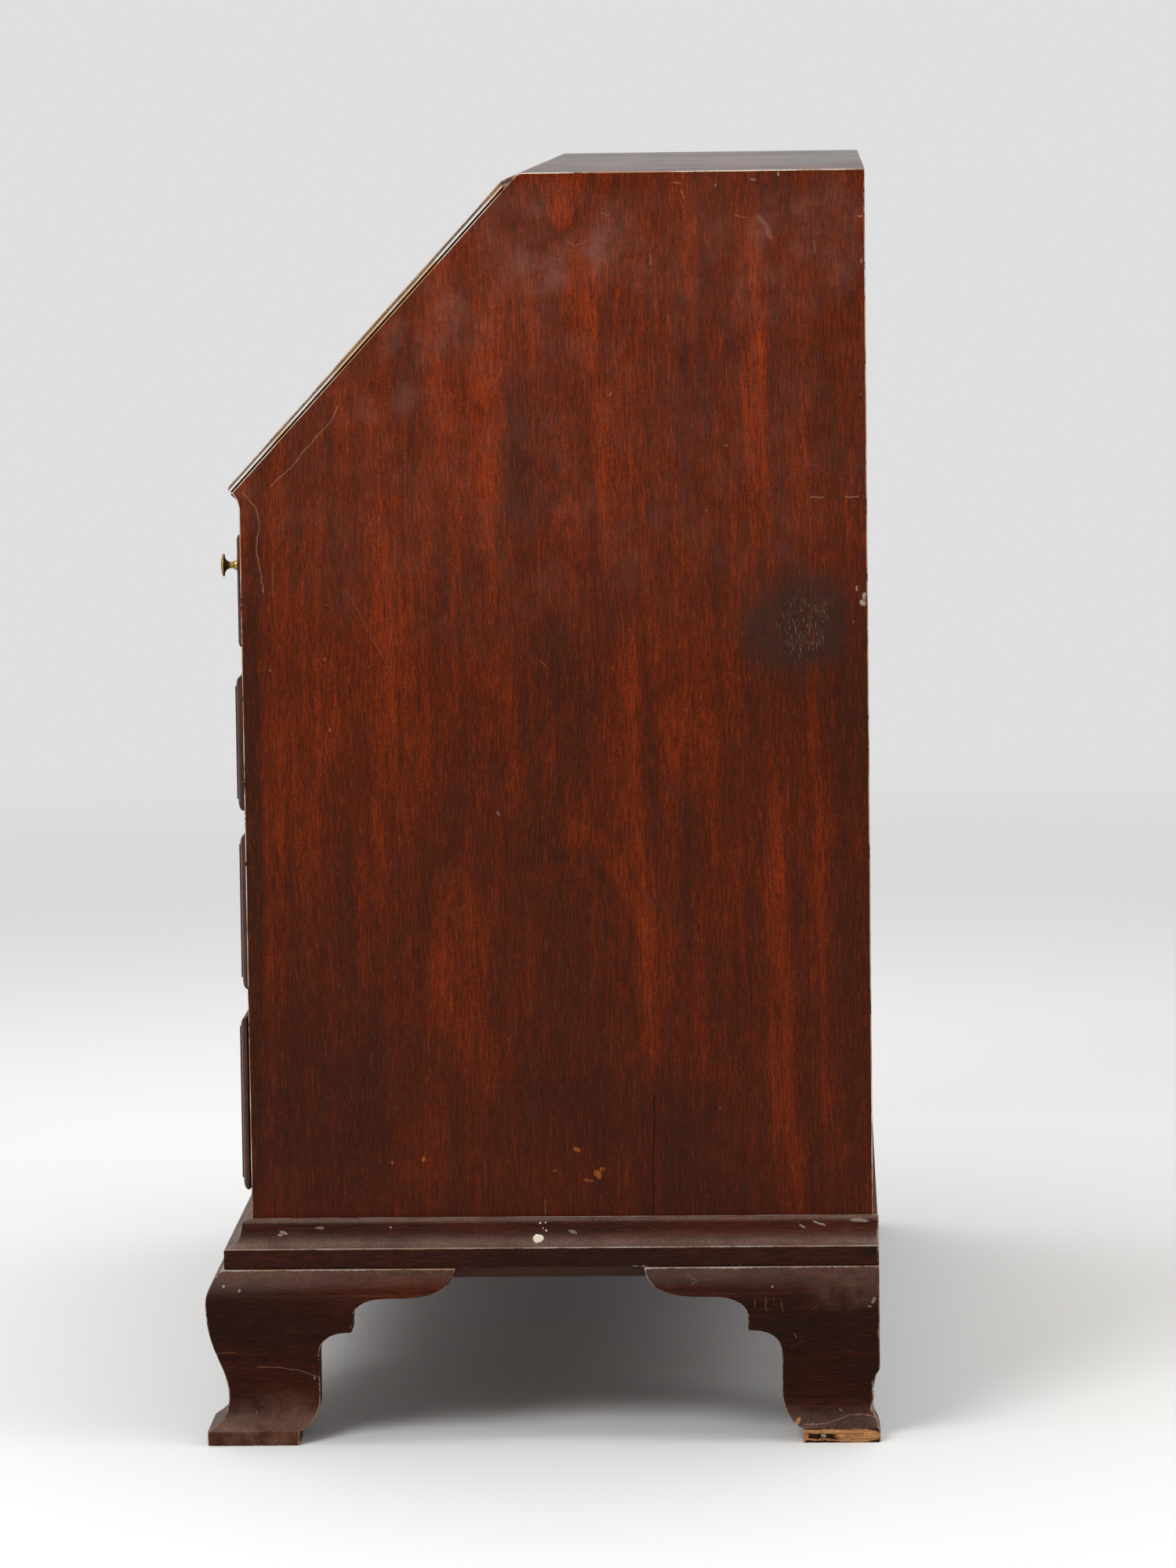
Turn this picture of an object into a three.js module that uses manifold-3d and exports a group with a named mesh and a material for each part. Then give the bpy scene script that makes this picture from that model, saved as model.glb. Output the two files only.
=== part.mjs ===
// A slant-front desk: four lipped drawers on ogee bracket feet, under a writing compartment
// with a pigeonhole gallery. A hinged lid closes the compartment, and when it is open it
// rests on two lopers that slide out beside the top drawer.
//
// Millimetres, +Z up, front towards -Y. Inside the desk group, y is measured back from the
// front face of the case, x from its middle and z up from the floor.

import * as THREE from 'three';
import { mergeVertices } from 'three/addons/utils/BufferGeometryUtils.js';
import Module from 'manifold-3d';

const wasm = await Module();
wasm.setup();

// Clearances shared by every piece
const seatGap = 0.3;
const cutOverrun = 6;

// Case
const overallHeight = 1067;
const caseWidth = 990;
const caseDepth = 525.5;
const topDepth = 288;
const writingHeight = 789.5;
const boardThickness = 22;
const topCornerRound = 4;
const backThickness = 12;
const lowerBackHeight = 430;

// Drawer levels, from the bottom: the height of each opening, the rail above it, and how far
// the drawer's lip stands off the case when it is pushed in
const bottomLevel = { opening: 144, railAbove: 27.7, standOff: 2.6 };
const lowerLevel = { opening: 127.8, railAbove: 24.2, standOff: 0.3 };
const upperLevel = { opening: 110.1, railAbove: 28.1, standOff: 1.2 };
const topLevel = { standOff: 0.3 };
const railDepth = 62;
const dustBoardThickness = 10;

// Lid
const hingeSetIn = 3;
const lidBodyThickness = 16;
const lidLipThickness = 6;
const lidLipSetBack = 3.6;
const lidLipMargin = 14.5;
const lidTopClearance = 2.5;
const lidSideClearance = 1;
const lidEdgeInset = 0.5;
const lidCleatWidth = 65;
const beakRise = 1.5;
const beakHollowShare = [0.3, 0.72];

// Thumb mouldings
const lidMould = { width: 11, edge: 1.4, step: 1.2, steps: 6 };
const drawerMould = { width: 9, edge: 1.4, step: 1.2, steps: 5 };
const loperMould = { width: 3, edge: 1, step: 0.5, steps: 3 };

// Drawers
const drawerLipThickness = 7;
const drawerLipOverlap = 5;
const drawerLipTopOverlap = 4;
const drawerTopClearance = 2;
const drawerSideClearance = 1.5;
const drawerFrontThickness = 15;
const drawerBackGap = 43.5;
const drawerWall = 11;
const drawerSideDrop = 8;
const drawerBottomRise = 8;
const drawerBottomThickness = 8;

// Lopers and the partitions beside them
const loperThickness = 22;
const loperBackGap = 93.5;
const loperSideClearance = 0.8;
const loperTopClearance = 0.6;
const loperLipOverlap = 3;
const loperLipThickness = 4;
const loperKnobShare = 0.72;
const partitionThickness = 20;
const knob = { collarRadius: 4.2, neckRadius: 2.7, headRadius: 9.7, collar: 2.6, neck: 2.9, flare: 5.7, head: 3.2 };

// Hinges
const hinge = {
  length: 75, width: 38, thickness: 1.5, barrelRadius: 2.6, pinRadius: 1.1, boreRadius: 1.4,
  recessMargin: 0.4, offsetShare: 0.6,
};

// Base
const footHeight = 150;
const mouldingHeight = 38;
const mouldingProjection = 22.5;
const bottomRailReveal = 21.5;
const frameDrop = 12;
const frameThickness = 32.5;
const frameMember = 70;
const baseBackProjection = 4.5;

// Base moulding: a quarter round at the top, a cove under it and a flat band
const mouldingTopLedge = 2;
const mouldingRound = 6;
const mouldingBand = 13.5;
const mouldingBandRound = 2;
const mitreReach = 60;

// Ogee feet: how far the outer face stands out from the case at each height
const footTopProjection = 25;
const footBulge = { projection: 37.7, height: 121 };
const footHollow = { projection: 20.3, height: 45 };
const footPad = { height: 12, length: 66, coveHeight: 18 };

// Ogee feet: the scroll under each bracket, reached from the plane of the foot's top edge
const footNeck = { reach: 82, foot: 34, top: 74 };
const footCusp = { reach: 110, height: 96, step: 7.5 };
const footWing = { reach: 198, height: 125, hollow: 30, flatEnd: 152 };
const cornerBlock = { width: 45, floorGap: 10 };
const rearBracket = { thickness: 20, length: 150, padLength: 70, wingHeight: 95 };

// Bail pulls
const pullSpacing = 64;
const pullPlate = { width: 86, height: 52, thickness: 1.6 };
const pullPost = { radius: 4.5, reach: 11, rise: 2 };
const bail = { radius: 2.3, pinRadius: 1.45, boreClearance: 0.35, drop: 27, legGap: 0.6 };
const pullPlaceShare = 0.485;

// Gallery
const gallery = {
  behindTop: 24.5, board: 6, drawerBays: 3, holes: 5, drawerHeightShare: 0.2583, valanceShare: 0.133,
};
const smallDrawer = { clearance: 1, front: 10, wall: 6, backGap: 15.2, knobRadius: 7, knobReach: 13 };

// Values worked out from the dimensions

const innerHalf = caseWidth / 2 - boardThickness;
const backBoardFront = caseDepth - backThickness;
const frameBottom = footHeight - frameDrop;
const frameTop = frameBottom + frameThickness;
const caseFloor = frameTop + seatGap;
const mouldingTop = footHeight + mouldingHeight;
const baseBack = caseDepth + baseBackProjection;
const writingUnderside = writingHeight - (lidBodyThickness + lidLipThickness);
const topUnderside = overallHeight - boardThickness;
const loperBay = loperThickness + 2 * loperSideClearance;
const drawerLength = backBoardFront - drawerBackGap;
const loperLength = backBoardFront - loperBackGap;

// The slant runs from the hinge up to the front edge of the top
const topFront = caseDepth - topDepth;
const slantSeat = lidBodyThickness - seatGap;
const slantRise = overallHeight - writingHeight;
const slantRun = topFront - hingeSetIn;
const slantAngle = Math.atan2(slantRise, slantRun) - Math.asin(slantSeat / Math.hypot(slantRise, slantRun));
const slantTopReach = slantRun * Math.cos(slantAngle) + slantRise * Math.sin(slantAngle);

// A point of the slanted lid, up the slope from the hinge and out from the lid's inner face
function onSlant(up, out) {
  return [
    hingeSetIn + up * Math.cos(slantAngle) - out * Math.sin(slantAngle),
    writingHeight + up * Math.sin(slantAngle) + out * Math.cos(slantAngle),
  ];
}

// Each drawer level with its floor and its opening, from the bottom up
function stackLevels() {
  const levels = [
    { name: 'bottom', ...bottomLevel },
    { name: 'lower', ...lowerLevel },
    { name: 'upper', ...upperLevel },
  ];
  const stacked = [];
  let floor = mouldingTop + bottomRailReveal;
  for (const level of levels) {
    stacked.push({ ...level, floor, half: innerHalf, lipTopOverlap: drawerLipTopOverlap });
    floor += level.opening + level.railAbove;
  }
  const half = innerHalf - loperBay - partitionThickness;
  const opening = writingUnderside - floor;
  stacked.push({ name: 'top', ...topLevel, floor, opening, half, lipTopOverlap: -loperTopClearance });
  return stacked;
}

const stackedLevels = stackLevels();
const topFloor = stackedLevels.at(-1).floor;
const loperHeight = writingUnderside - topFloor - loperTopClearance - seatGap;

// Materials

const finishes = {
  caseWood: { color: 0x6b2d1c, roughness: 0.42, metalness: 0 },
  darkWood: { color: 0x4a2118, roughness: 0.45, metalness: 0 },
  plainWood: { color: 0xb08a5c, roughness: 0.75, metalness: 0 },
  brass: { color: 0xb08d4a, roughness: 0.35, metalness: 1 },
};

// Geometry helpers

const axisX = new THREE.Vector3(1, 0, 0);
const axisY = new THREE.Vector3(0, 1, 0);
const axisZ = new THREE.Vector3(0, 0, 1);

function outline(points) {
  return new THREE.Shape(points.map(([across, up]) => new THREE.Vector2(across, up)));
}

function curvePoints(path, divisions) {
  return path.getPoints(divisions).map((point) => [point.x, point.y]);
}

// Draws an outline out along its third axis and lays its own two axes along two directions
function drawn(points, across, up, from, to) {
  const geometry = new THREE.ExtrudeGeometry(outline(points), { depth: to - from, bevelEnabled: false });
  geometry.translate(0, 0, from);
  const along = new THREE.Vector3().crossVectors(across, up);
  return geometry.applyMatrix4(new THREE.Matrix4().makeBasis(across, up, along));
}

// An outline of [y, z] points drawn along x
function drawnAlongX(points, from, to) {
  return drawn(points, axisY, axisZ, from, to);
}

// An outline of [x, z] points drawn along y
function drawnAlongY(points, from, to) {
  return drawn(points, axisX, axisZ, -to, -from);
}

// An outline of [x, y] points drawn along z
function drawnAlongZ(points, from, to) {
  return drawn(points, axisX, axisY, from, to);
}

function box([x0, x1], [y0, y1], [z0, z1]) {
  const geometry = new THREE.BoxGeometry(x1 - x0, y1 - y0, z1 - z0);
  return geometry.translate((x0 + x1) / 2, (y0 + y1) / 2, (z0 + z1) / 2);
}

// A round bar along x between two stations
function barAlongX(radius, [x0, x1], [y, z], sides) {
  const geometry = new THREE.CylinderGeometry(radius, radius, x1 - x0, sides);
  return geometry.rotateZ(Math.PI / 2).translate((x0 + x1) / 2, y, z);
}

function toSolid(geometry) {
  const bare = geometry.clone();
  bare.deleteAttribute('normal');
  bare.deleteAttribute('uv');
  const merged = mergeVertices(bare);
  return new wasm.Manifold(new wasm.Mesh({
    numProp: 3,
    vertProperties: Float32Array.from(merged.attributes.position.array),
    triVerts: Uint32Array.from(merged.index.array),
  }));
}

function toGeometry(solid) {
  const { vertProperties, triVerts } = solid.getMesh();
  const indexed = new THREE.BufferGeometry();
  indexed.setAttribute('position', new THREE.BufferAttribute(vertProperties, 3));
  indexed.setIndex(new THREE.BufferAttribute(triVerts, 1));
  const geometry = indexed.toNonIndexed();
  geometry.computeVertexNormals();
  return geometry;
}

function joined(geometries) {
  return toGeometry(geometries.map(toSolid).reduce((whole, piece) => whole.add(piece)));
}

function cut(geometry, cutters) {
  return toGeometry(cutters.map(toSolid).reduce((whole, cutter) => whole.subtract(cutter), toSolid(geometry)));
}

function common(geometries) {
  return toGeometry(geometries.map(toSolid).reduce((whole, piece) => whole.intersect(piece)));
}

// The same piece for the other side of the desk
function mirrored(geometry) {
  const other = mergeVertices(geometry.clone().deleteAttribute('normal'));
  other.scale(-1, 1, 1);
  const index = other.index.array;
  for (let corner = 0; corner < index.length; corner += 3) {
    [index[corner], index[corner + 1]] = [index[corner + 1], index[corner]];
  }
  const flipped = other.toNonIndexed();
  flipped.computeVertexNormals();
  return flipped;
}

// A piece made for the right-hand side, where x is positive, or its twin on the left
function forSide(side, geometry) {
  return side === 'right' ? geometry : mirrored(geometry);
}

const sides = ['left', 'right'];

function addPart(parent, name, geometry, finish) {
  const mesh = new THREE.Mesh(geometry, new THREE.MeshStandardMaterial(finish));
  mesh.name = name;
  parent.add(mesh);
}

// A group whose x and y lie along the width and the height of a front, with z facing outwards
function frontGroup(parent, height) {
  const group = new THREE.Group();
  group.position.z = height;
  group.rotation.x = Math.PI / 2;
  parent.add(group);
  return group;
}

// A slab in x and y with its back at z = 0. From the edges that are moulded a quarter ellipse
// rises to a small step round the raised field.
function thumbMouldedSlab([x0, x1], [y0, y1], thickness, mould, mouldedBottom = true) {
  const rings = [[0, 0]];
  const shoulder = thickness - mould.step;
  for (let index = 0; index <= mould.steps; index += 1) {
    const angle = (index / mould.steps) * (Math.PI / 2);
    const inset = mould.width * (1 - Math.cos(angle));
    rings.push([inset, mould.edge + (shoulder - mould.edge) * Math.sin(angle)]);
  }
  rings.push([mould.width, thickness]);

  const positions = [];
  for (const [inset, height] of rings) {
    const low = mouldedBottom ? y0 + inset : y0;
    positions.push(x0 + inset, low, height, x1 - inset, low, height);
    positions.push(x1 - inset, y1 - inset, height, x0 + inset, y1 - inset, height);
  }

  const index = [0, 2, 1, 0, 3, 2];
  for (let ring = 0; ring < rings.length - 1; ring += 1) {
    for (let corner = 0; corner < 4; corner += 1) {
      const here = 4 * ring + corner;
      const next = 4 * ring + ((corner + 1) % 4);
      index.push(here, next, next + 4, here, next + 4, here + 4);
    }
  }
  const last = positions.length / 3 - 4;
  index.push(last, last + 1, last + 2, last, last + 2, last + 3);

  const geometry = new THREE.BufferGeometry();
  geometry.setAttribute('position', new THREE.Float32BufferAttribute(positions, 3));
  geometry.setIndex(index);
  return geometry;
}

// Case

// The slanted front edge of a board that ends under the lid, up to the top's rounded corner
function slantedCorner() {
  const path = new THREE.Path();
  path.moveTo(...onSlant(slantTopReach - topCornerRound, slantSeat));
  path.quadraticCurveTo(topFront, overallHeight, topFront + topCornerRound, overallHeight);
  return curvePoints(path, 4);
}

// The small beak that carries the side forward under the lid's lower end
function beakPoints() {
  const [tipY, tipZ] = onSlant(lidLipSetBack, slantSeat);
  const foot = writingHeight + beakRise;
  const [acrossShare, upShare] = beakHollowShare;
  const path = new THREE.Path();
  path.moveTo(0, foot);
  path.quadraticCurveTo(tipY * acrossShare, foot + (tipZ - foot) * upShare, tipY, tipZ);
  return curvePoints(path, 5);
}

// The wedge of the top board's mitre with the sides, seen from the front
function topMitre(half, inset) {
  const outer = half - inset;
  const inner = outer - boardThickness - cutOverrun;
  return [
    [-inner, topUnderside - cutOverrun],
    [inner, topUnderside - cutOverrun],
    [outer + cutOverrun, overallHeight + cutOverrun],
    [-outer - cutOverrun, overallHeight + cutOverrun],
  ];
}

function sideBoard() {
  const profile = [
    [0, caseFloor],
    ...beakPoints(),
    ...slantedCorner(),
    [caseDepth, overallHeight],
    [caseDepth, caseFloor],
  ];
  const board = drawnAlongX(profile, innerHalf, caseWidth / 2);
  const mitre = drawnAlongY(topMitre(caseWidth / 2, 0), -cutOverrun, caseDepth + cutOverrun);
  return cut(board, [mitre]);
}

function topBoard() {
  const profile = [
    onSlant((topUnderside - onSlant(0, slantSeat)[1]) / Math.sin(slantAngle), slantSeat),
    ...slantedCorner(),
    [caseDepth, overallHeight],
    [caseDepth, topUnderside],
  ];
  const board = drawnAlongX(profile, -caseWidth / 2, caseWidth / 2);
  const mitre = drawnAlongY(topMitre(caseWidth / 2, 2 * seatGap), -cutOverrun, caseDepth + cutOverrun);
  return common([board, mitre]);
}

// A board between the sides with a thick rail along its front edge
function railedBoard(top, railHeight, thickness) {
  const profile = [
    [0, top - railHeight],
    [railDepth, top - railHeight],
    [railDepth, top - thickness],
    [backBoardFront - seatGap, top - thickness],
    [backBoardFront - seatGap, top],
    [0, top],
  ];
  return drawnAlongX(profile, -innerHalf + seatGap, innerHalf - seatGap);
}

// The room that a pair of hinge leaves needs in the two boards that meet at the hinge
function hingeRoom(middle, reachBelow, reachAbove) {
  const half = hinge.length / 2 + hinge.recessMargin;
  const span = [middle - half, middle + half];
  const reach = hinge.width + hinge.recessMargin;
  const barrel = barAlongX(hinge.barrelRadius + hinge.recessMargin, span, [0, 0], 12);
  return [box(span, [0, reach], [reachBelow, reachAbove]), barrel];
}

const hingePlaces = { left: -hinge.offsetShare * innerHalf, right: hinge.offsetShare * innerHalf };
const leafRoom = seatGap + hinge.thickness + seatGap;

function writingBoard() {
  const board = box(
    [-innerHalf + seatGap, innerHalf - seatGap],
    [hingeSetIn + seatGap, backBoardFront - seatGap],
    [writingUnderside, writingHeight],
  );
  const rooms = sides.flatMap((side) => hingeRoom(hingePlaces[side], -leafRoom, cutOverrun));
  return cut(board, rooms.map((room) => room.translate(0, hingeSetIn, writingHeight)));
}

function backBoard(bottom, top) {
  const half = innerHalf - seatGap;
  return box([-half, half], [backBoardFront, caseDepth], [bottom, top]);
}

function addCase(desk) {
  for (const side of sides) {
    addPart(desk, `side_${side}`, forSide(side, sideBoard()), finishes.caseWood);
  }
  addPart(desk, 'top_board', topBoard(), finishes.caseWood);
  addPart(desk, 'writing_board', writingBoard(), finishes.caseWood);

  const bottomFloor = stackedLevels[0].floor;
  const bottomBoard = railedBoard(bottomFloor, bottomFloor - caseFloor, boardThickness);
  addPart(desk, 'case_bottom', bottomBoard, finishes.caseWood);
  for (const level of stackedLevels.slice(0, -1)) {
    const top = level.floor + level.opening + level.railAbove;
    const divider = railedBoard(top, level.railAbove, dustBoardThickness);
    addPart(desk, `divider_over_${level.name}_drawer`, divider, finishes.caseWood);
  }

  const partitionInner = innerHalf - loperBay - partitionThickness;
  for (const side of sides) {
    const partition = box(
      [partitionInner, partitionInner + partitionThickness],
      [0, backBoardFront - seatGap],
      [topFloor + seatGap, writingUnderside - seatGap],
    );
    addPart(desk, `loper_partition_${side}`, forSide(side, partition), finishes.caseWood);
  }

  const backJoint = caseFloor + lowerBackHeight;
  addPart(desk, 'back_board_lower', backBoard(caseFloor, backJoint), finishes.plainWood);
  addPart(desk, 'back_board_upper', backBoard(backJoint + seatGap, topUnderside - seatGap), finishes.plainWood);
}

// Base

// The section of the moulding: distance out from the case against height
function mouldingSection() {
  const bandTop = footHeight + mouldingBand;
  const roundFoot = mouldingTop - mouldingRound;
  const roundOut = mouldingTopLedge + mouldingRound;
  const path = new THREE.Path();
  path.moveTo(mouldingTopLedge, mouldingTop);
  path.quadraticCurveTo(roundOut, mouldingTop, roundOut, roundFoot);
  path.quadraticCurveTo(roundOut + mouldingRound / 4, bandTop, mouldingProjection - mouldingBandRound, bandTop);
  path.quadraticCurveTo(mouldingProjection, bandTop, mouldingProjection, bandTop - mouldingBandRound);
  return [
    [seatGap, mouldingTop],
    ...curvePoints(path, 5),
    [mouldingProjection, footHeight + seatGap],
    [seatGap, footHeight + seatGap],
  ];
}

function frontMoulding() {
  const half = caseWidth / 2;
  const section = mouldingSection().map(([out, up]) => [-out, up]);
  const run = drawnAlongX(section, -half - mitreReach, half + mitreReach);
  const plan = [
    [-half + seatGap, 0],
    [-half + seatGap - mitreReach, -mitreReach],
    [half - seatGap + mitreReach, -mitreReach],
    [half - seatGap, 0],
  ];
  return common([run, drawnAlongZ(plan, 0, overallHeight)]);
}

function sideMoulding() {
  const half = caseWidth / 2;
  const section = mouldingSection().map(([out, up]) => [half + out, up]);
  const run = drawnAlongY(section, -mitreReach, baseBack);
  const plan = [
    [half, 0],
    [half + mitreReach, -mitreReach],
    [half + mitreReach, baseBack + cutOverrun],
    [half, baseBack + cutOverrun],
  ];
  return common([run, drawnAlongZ(plan, 0, overallHeight)]);
}

function baseFrame() {
  const half = caseWidth / 2;
  const ring = box([-half, half], [0, baseBack], [frameBottom, frameTop]);
  const hole = box(
    [-half + frameMember, half - frameMember],
    [frameMember, baseBack - frameMember],
    [frameBottom - cutOverrun, frameTop + cutOverrun],
  );
  return cut(ring, [hole]);
}

// The ogee of a foot's outer face: distance out from the case against height, floor upwards
function ogeePoints() {
  const path = new THREE.Path();
  const padTop = footPad.height + footPad.coveHeight;
  const bend = (footBulge.height - footHollow.height) / 2;
  path.moveTo(footBulge.projection, footPad.height);
  path.bezierCurveTo(
    footBulge.projection, padTop - footPad.coveHeight / 3,
    footHollow.projection, padTop - footPad.coveHeight / 2,
    footHollow.projection, footHollow.height,
  );
  path.bezierCurveTo(
    footHollow.projection, footHollow.height + bend,
    footBulge.projection, footBulge.height - bend,
    footBulge.projection, footBulge.height,
  );
  path.quadraticCurveTo(
    footBulge.projection, (footBulge.height + footHeight) / 2,
    footTopProjection, footHeight,
  );
  return [[footBulge.projection, 0], ...curvePoints(path, 8)];
}

// The space under a bracket's scroll, reached from the plane of the foot's top edge. The foot
// stands on its pad, and above the neck two cusps lead out to the lobe at the wing's tip.
function scrollSpace() {
  const cuspTop = footCusp.height + footCusp.step;
  const wingRound = footWing.reach - footWing.flatEnd;
  const path = new THREE.Path();
  path.moveTo(footPad.length, footPad.height);
  path.quadraticCurveTo(footNeck.reach, footPad.height, footNeck.reach, footNeck.foot);
  path.lineTo(footNeck.reach, footNeck.top);
  path.quadraticCurveTo(footNeck.reach, footCusp.height, footCusp.reach, footCusp.height);
  path.lineTo(footCusp.reach, cuspTop);
  path.quadraticCurveTo(
    footCusp.reach, footWing.height,
    footCusp.reach + footWing.hollow, footWing.height,
  );
  path.lineTo(footWing.flatEnd, footWing.height);
  path.quadraticCurveTo(
    footWing.flatEnd + wingRound, footWing.height,
    footWing.reach, footHeight,
  );
  return [
    [footPad.length, -cutOverrun],
    ...curvePoints(path, 6),
    [footWing.reach, footHeight + cutOverrun],
    [footWing.reach + cutOverrun, footHeight + cutOverrun],
    [footWing.reach + cutOverrun, -cutOverrun],
  ];
}

// The outer shape of a foot's front or side bracket runs on behind by the length of its wing
function ogeeBlock(toPoint) {
  const behind = [[-footWing.reach, footHeight], [-footWing.reach, 0]];
  return [...ogeePoints(), ...behind].map(toPoint);
}

function footSideEnvelope(from, to) {
  return drawnAlongY(ogeeBlock(([out, up]) => [caseWidth / 2 + out, up]), from, to);
}

function glueBlock([y0, y1]) {
  const half = caseWidth / 2;
  const block = cornerBlock;
  return box([half - block.width, half + 2 * seatGap], [y0, y1], [block.floorGap, frameBottom - seatGap]);
}

function frontFoot() {
  const half = caseWidth / 2;
  const reach = footWing.reach - footTopProjection;
  const outer = footBulge.projection + cutOverrun;
  const fromFront = drawnAlongX(ogeeBlock(([out, up]) => [-out, up]), half - footWing.reach, half + outer);
  const fromSide = footSideEnvelope(-outer, footWing.reach);
  const plan = [
    [half - reach, -outer],
    [half + outer, -outer],
    [half + outer, reach],
    [half + seatGap, reach],
    [half + seatGap, -seatGap],
    [half - reach, -seatGap],
  ];
  const brackets = common([fromFront, fromSide, drawnAlongZ(plan, 0, footHeight)]);
  const frontSpace = scrollSpace().map(([along, up]) => [half + footTopProjection - along, up]);
  const sideSpace = scrollSpace().map(([along, up]) => [along - footTopProjection, up]);
  const scrolled = cut(brackets, [
    drawnAlongY(frontSpace, -outer - cutOverrun, 0),
    drawnAlongX(sideSpace, half, half + outer + cutOverrun),
  ]);
  return joined([scrolled, glueBlock([-2 * seatGap, cornerBlock.width])]);
}

function rearFoot() {
  const half = caseWidth / 2;
  const outer = footBulge.projection + cutOverrun;
  const bracket = common([
    footSideEnvelope(baseBack - footWing.reach, baseBack),
    box([half + seatGap, half + outer], [baseBack - footWing.reach, baseBack], [0, footHeight]),
  ]);
  const sideSpace = scrollSpace().map(([along, up]) => [baseBack - along, up]);
  const scrolled = cut(bracket, [drawnAlongX(sideSpace, half, half + outer + cutOverrun)]);
  const top = frameBottom - seatGap;
  const backOutline = [
    [half + 2 * seatGap, 0],
    [half - rearBracket.padLength, 0],
    [half - rearBracket.padLength, footPad.height],
    [half - rearBracket.length, rearBracket.wingHeight],
    [half - rearBracket.length, top],
    [half + 2 * seatGap, top],
  ];
  const backFront = baseBack - rearBracket.thickness;
  const back = drawnAlongY(backOutline, backFront, baseBack);
  return joined([scrolled, back, glueBlock([backFront - cornerBlock.width, backFront + seatGap])]);
}

function addBase(desk) {
  addPart(desk, 'base_frame', baseFrame(), finishes.plainWood);
  addPart(desk, 'base_moulding_front', frontMoulding(), finishes.darkWood);
  for (const side of sides) {
    addPart(desk, `base_moulding_${side}`, forSide(side, sideMoulding()), finishes.darkWood);
    addPart(desk, `front_foot_${side}`, forSide(side, frontFoot()), finishes.darkWood);
    addPart(desk, `rear_foot_${side}`, forSide(side, rearFoot()), finishes.darkWood);
  }
}

// Lid

// The whole lid in its own axes: x across, y up the slope from the hinge, z outwards
function wholeLid() {
  const lipHalf = caseWidth / 2 - lidEdgeInset;
  const bodyHalf = innerHalf - lidSideClearance;
  const lipEnd = slantTopReach - lidLipMargin;
  const bodyTop = topUnderside - lidTopClearance - onSlant(0, lidBodyThickness)[1];
  const lip = thumbMouldedSlab(
    [-lipHalf, lipHalf], [lidLipSetBack, lipEnd], lidLipThickness, lidMould, false,
  ).translate(0, 0, lidBodyThickness);
  const body = box([-bodyHalf, bodyHalf], [0, bodyTop / Math.sin(slantAngle)], [0, lidBodyThickness]);
  return joined([lip, body]);
}

function lidSlice(from, to) {
  const slice = box([from, to], [-cutOverrun, slantTopReach], [-cutOverrun, 2 * lidBodyThickness]);
  return common([wholeLid(), slice]);
}

// A hinge leaf in its own axes: the pin lies along x at the origin, the plate along y. The
// leaf with the outer knuckles holds the pin, and the other one turns on it.
function hingeLeaf(plateLow, holdsPin) {
  const half = hinge.length / 2;
  const knuckle = hinge.length / 6;
  const clear = hinge.barrelRadius + 2 * seatGap;
  const heights = [plateLow, plateLow + hinge.thickness];
  const plate = box([-half, half], [clear, hinge.width], heights);
  const centre = [0, 0];
  if (!holdsPin) {
    const tongue = box([-knuckle + seatGap, knuckle - seatGap], [0, clear + seatGap], heights);
    const barrel = barAlongX(hinge.barrelRadius, [-knuckle + seatGap, knuckle - seatGap], centre, 12);
    const bore = barAlongX(hinge.boreRadius, [-half, half], centre, 12);
    return cut(joined([plate, tongue, barrel]), [bore]);
  }
  const outer = [[-half, -knuckle], [knuckle, half]];
  const tongues = outer.map((span) => box(span, [0, clear + seatGap], heights));
  const barrels = outer.map((span) => barAlongX(hinge.barrelRadius, span, centre, 12));
  const pin = barAlongX(hinge.pinRadius, [-knuckle - seatGap, knuckle + seatGap], centre, 12);
  return joined([plate, ...tongues, ...barrels, pin]);
}

function addLid(desk) {
  const lid = new THREE.Group();
  lid.position.set(0, hingeSetIn, writingHeight);
  lid.rotation.x = slantAngle;
  desk.add(lid);

  const joint = innerHalf - lidCleatWidth;
  const rooms = sides.flatMap((side) => hingeRoom(hingePlaces[side], -cutOverrun, leafRoom));
  addPart(lid, 'lid_panel', cut(lidSlice(-joint + seatGap, joint - seatGap), rooms), finishes.caseWood);
  for (const side of sides) {
    addPart(lid, `lid_cleat_${side}`, forSide(side, lidSlice(joint, caseWidth / 2)), finishes.caseWood);
  }

  const bed = new THREE.Group();
  bed.position.copy(lid.position);
  desk.add(bed);
  for (const side of sides) {
    const place = hingePlaces[side];
    addPart(lid, `lid_hinge_leaf_${side}`, hingeLeaf(seatGap, false).translate(place, 0, 0), finishes.brass);
    const low = -seatGap - hinge.thickness;
    addPart(bed, `bed_hinge_leaf_${side}`, hingeLeaf(low, true).translate(place, 0, 0), finishes.brass);
  }
}

// Lopers

// A collar, a neck that flares like a trumpet, and a slightly domed head
function turnedKnob({ collarRadius, neckRadius, headRadius, collar, neck, flare, head }) {
  const neckTop = collar + neck;
  const rim = neckTop + flare;
  const path = new THREE.Path();
  path.moveTo(0, 0);
  path.lineTo(collarRadius, 0);
  path.lineTo(collarRadius, collar);
  path.quadraticCurveTo(neckRadius, collar, neckRadius, neckTop);
  path.quadraticCurveTo(neckRadius, rim, headRadius, rim);
  path.quadraticCurveTo(headRadius, rim + head, 0, rim + head);
  const points = path.getPoints(6);
  points[points.length - 1].x = 0;
  return new THREE.LatheGeometry(points, 16).rotateX(Math.PI / 2);
}

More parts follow.
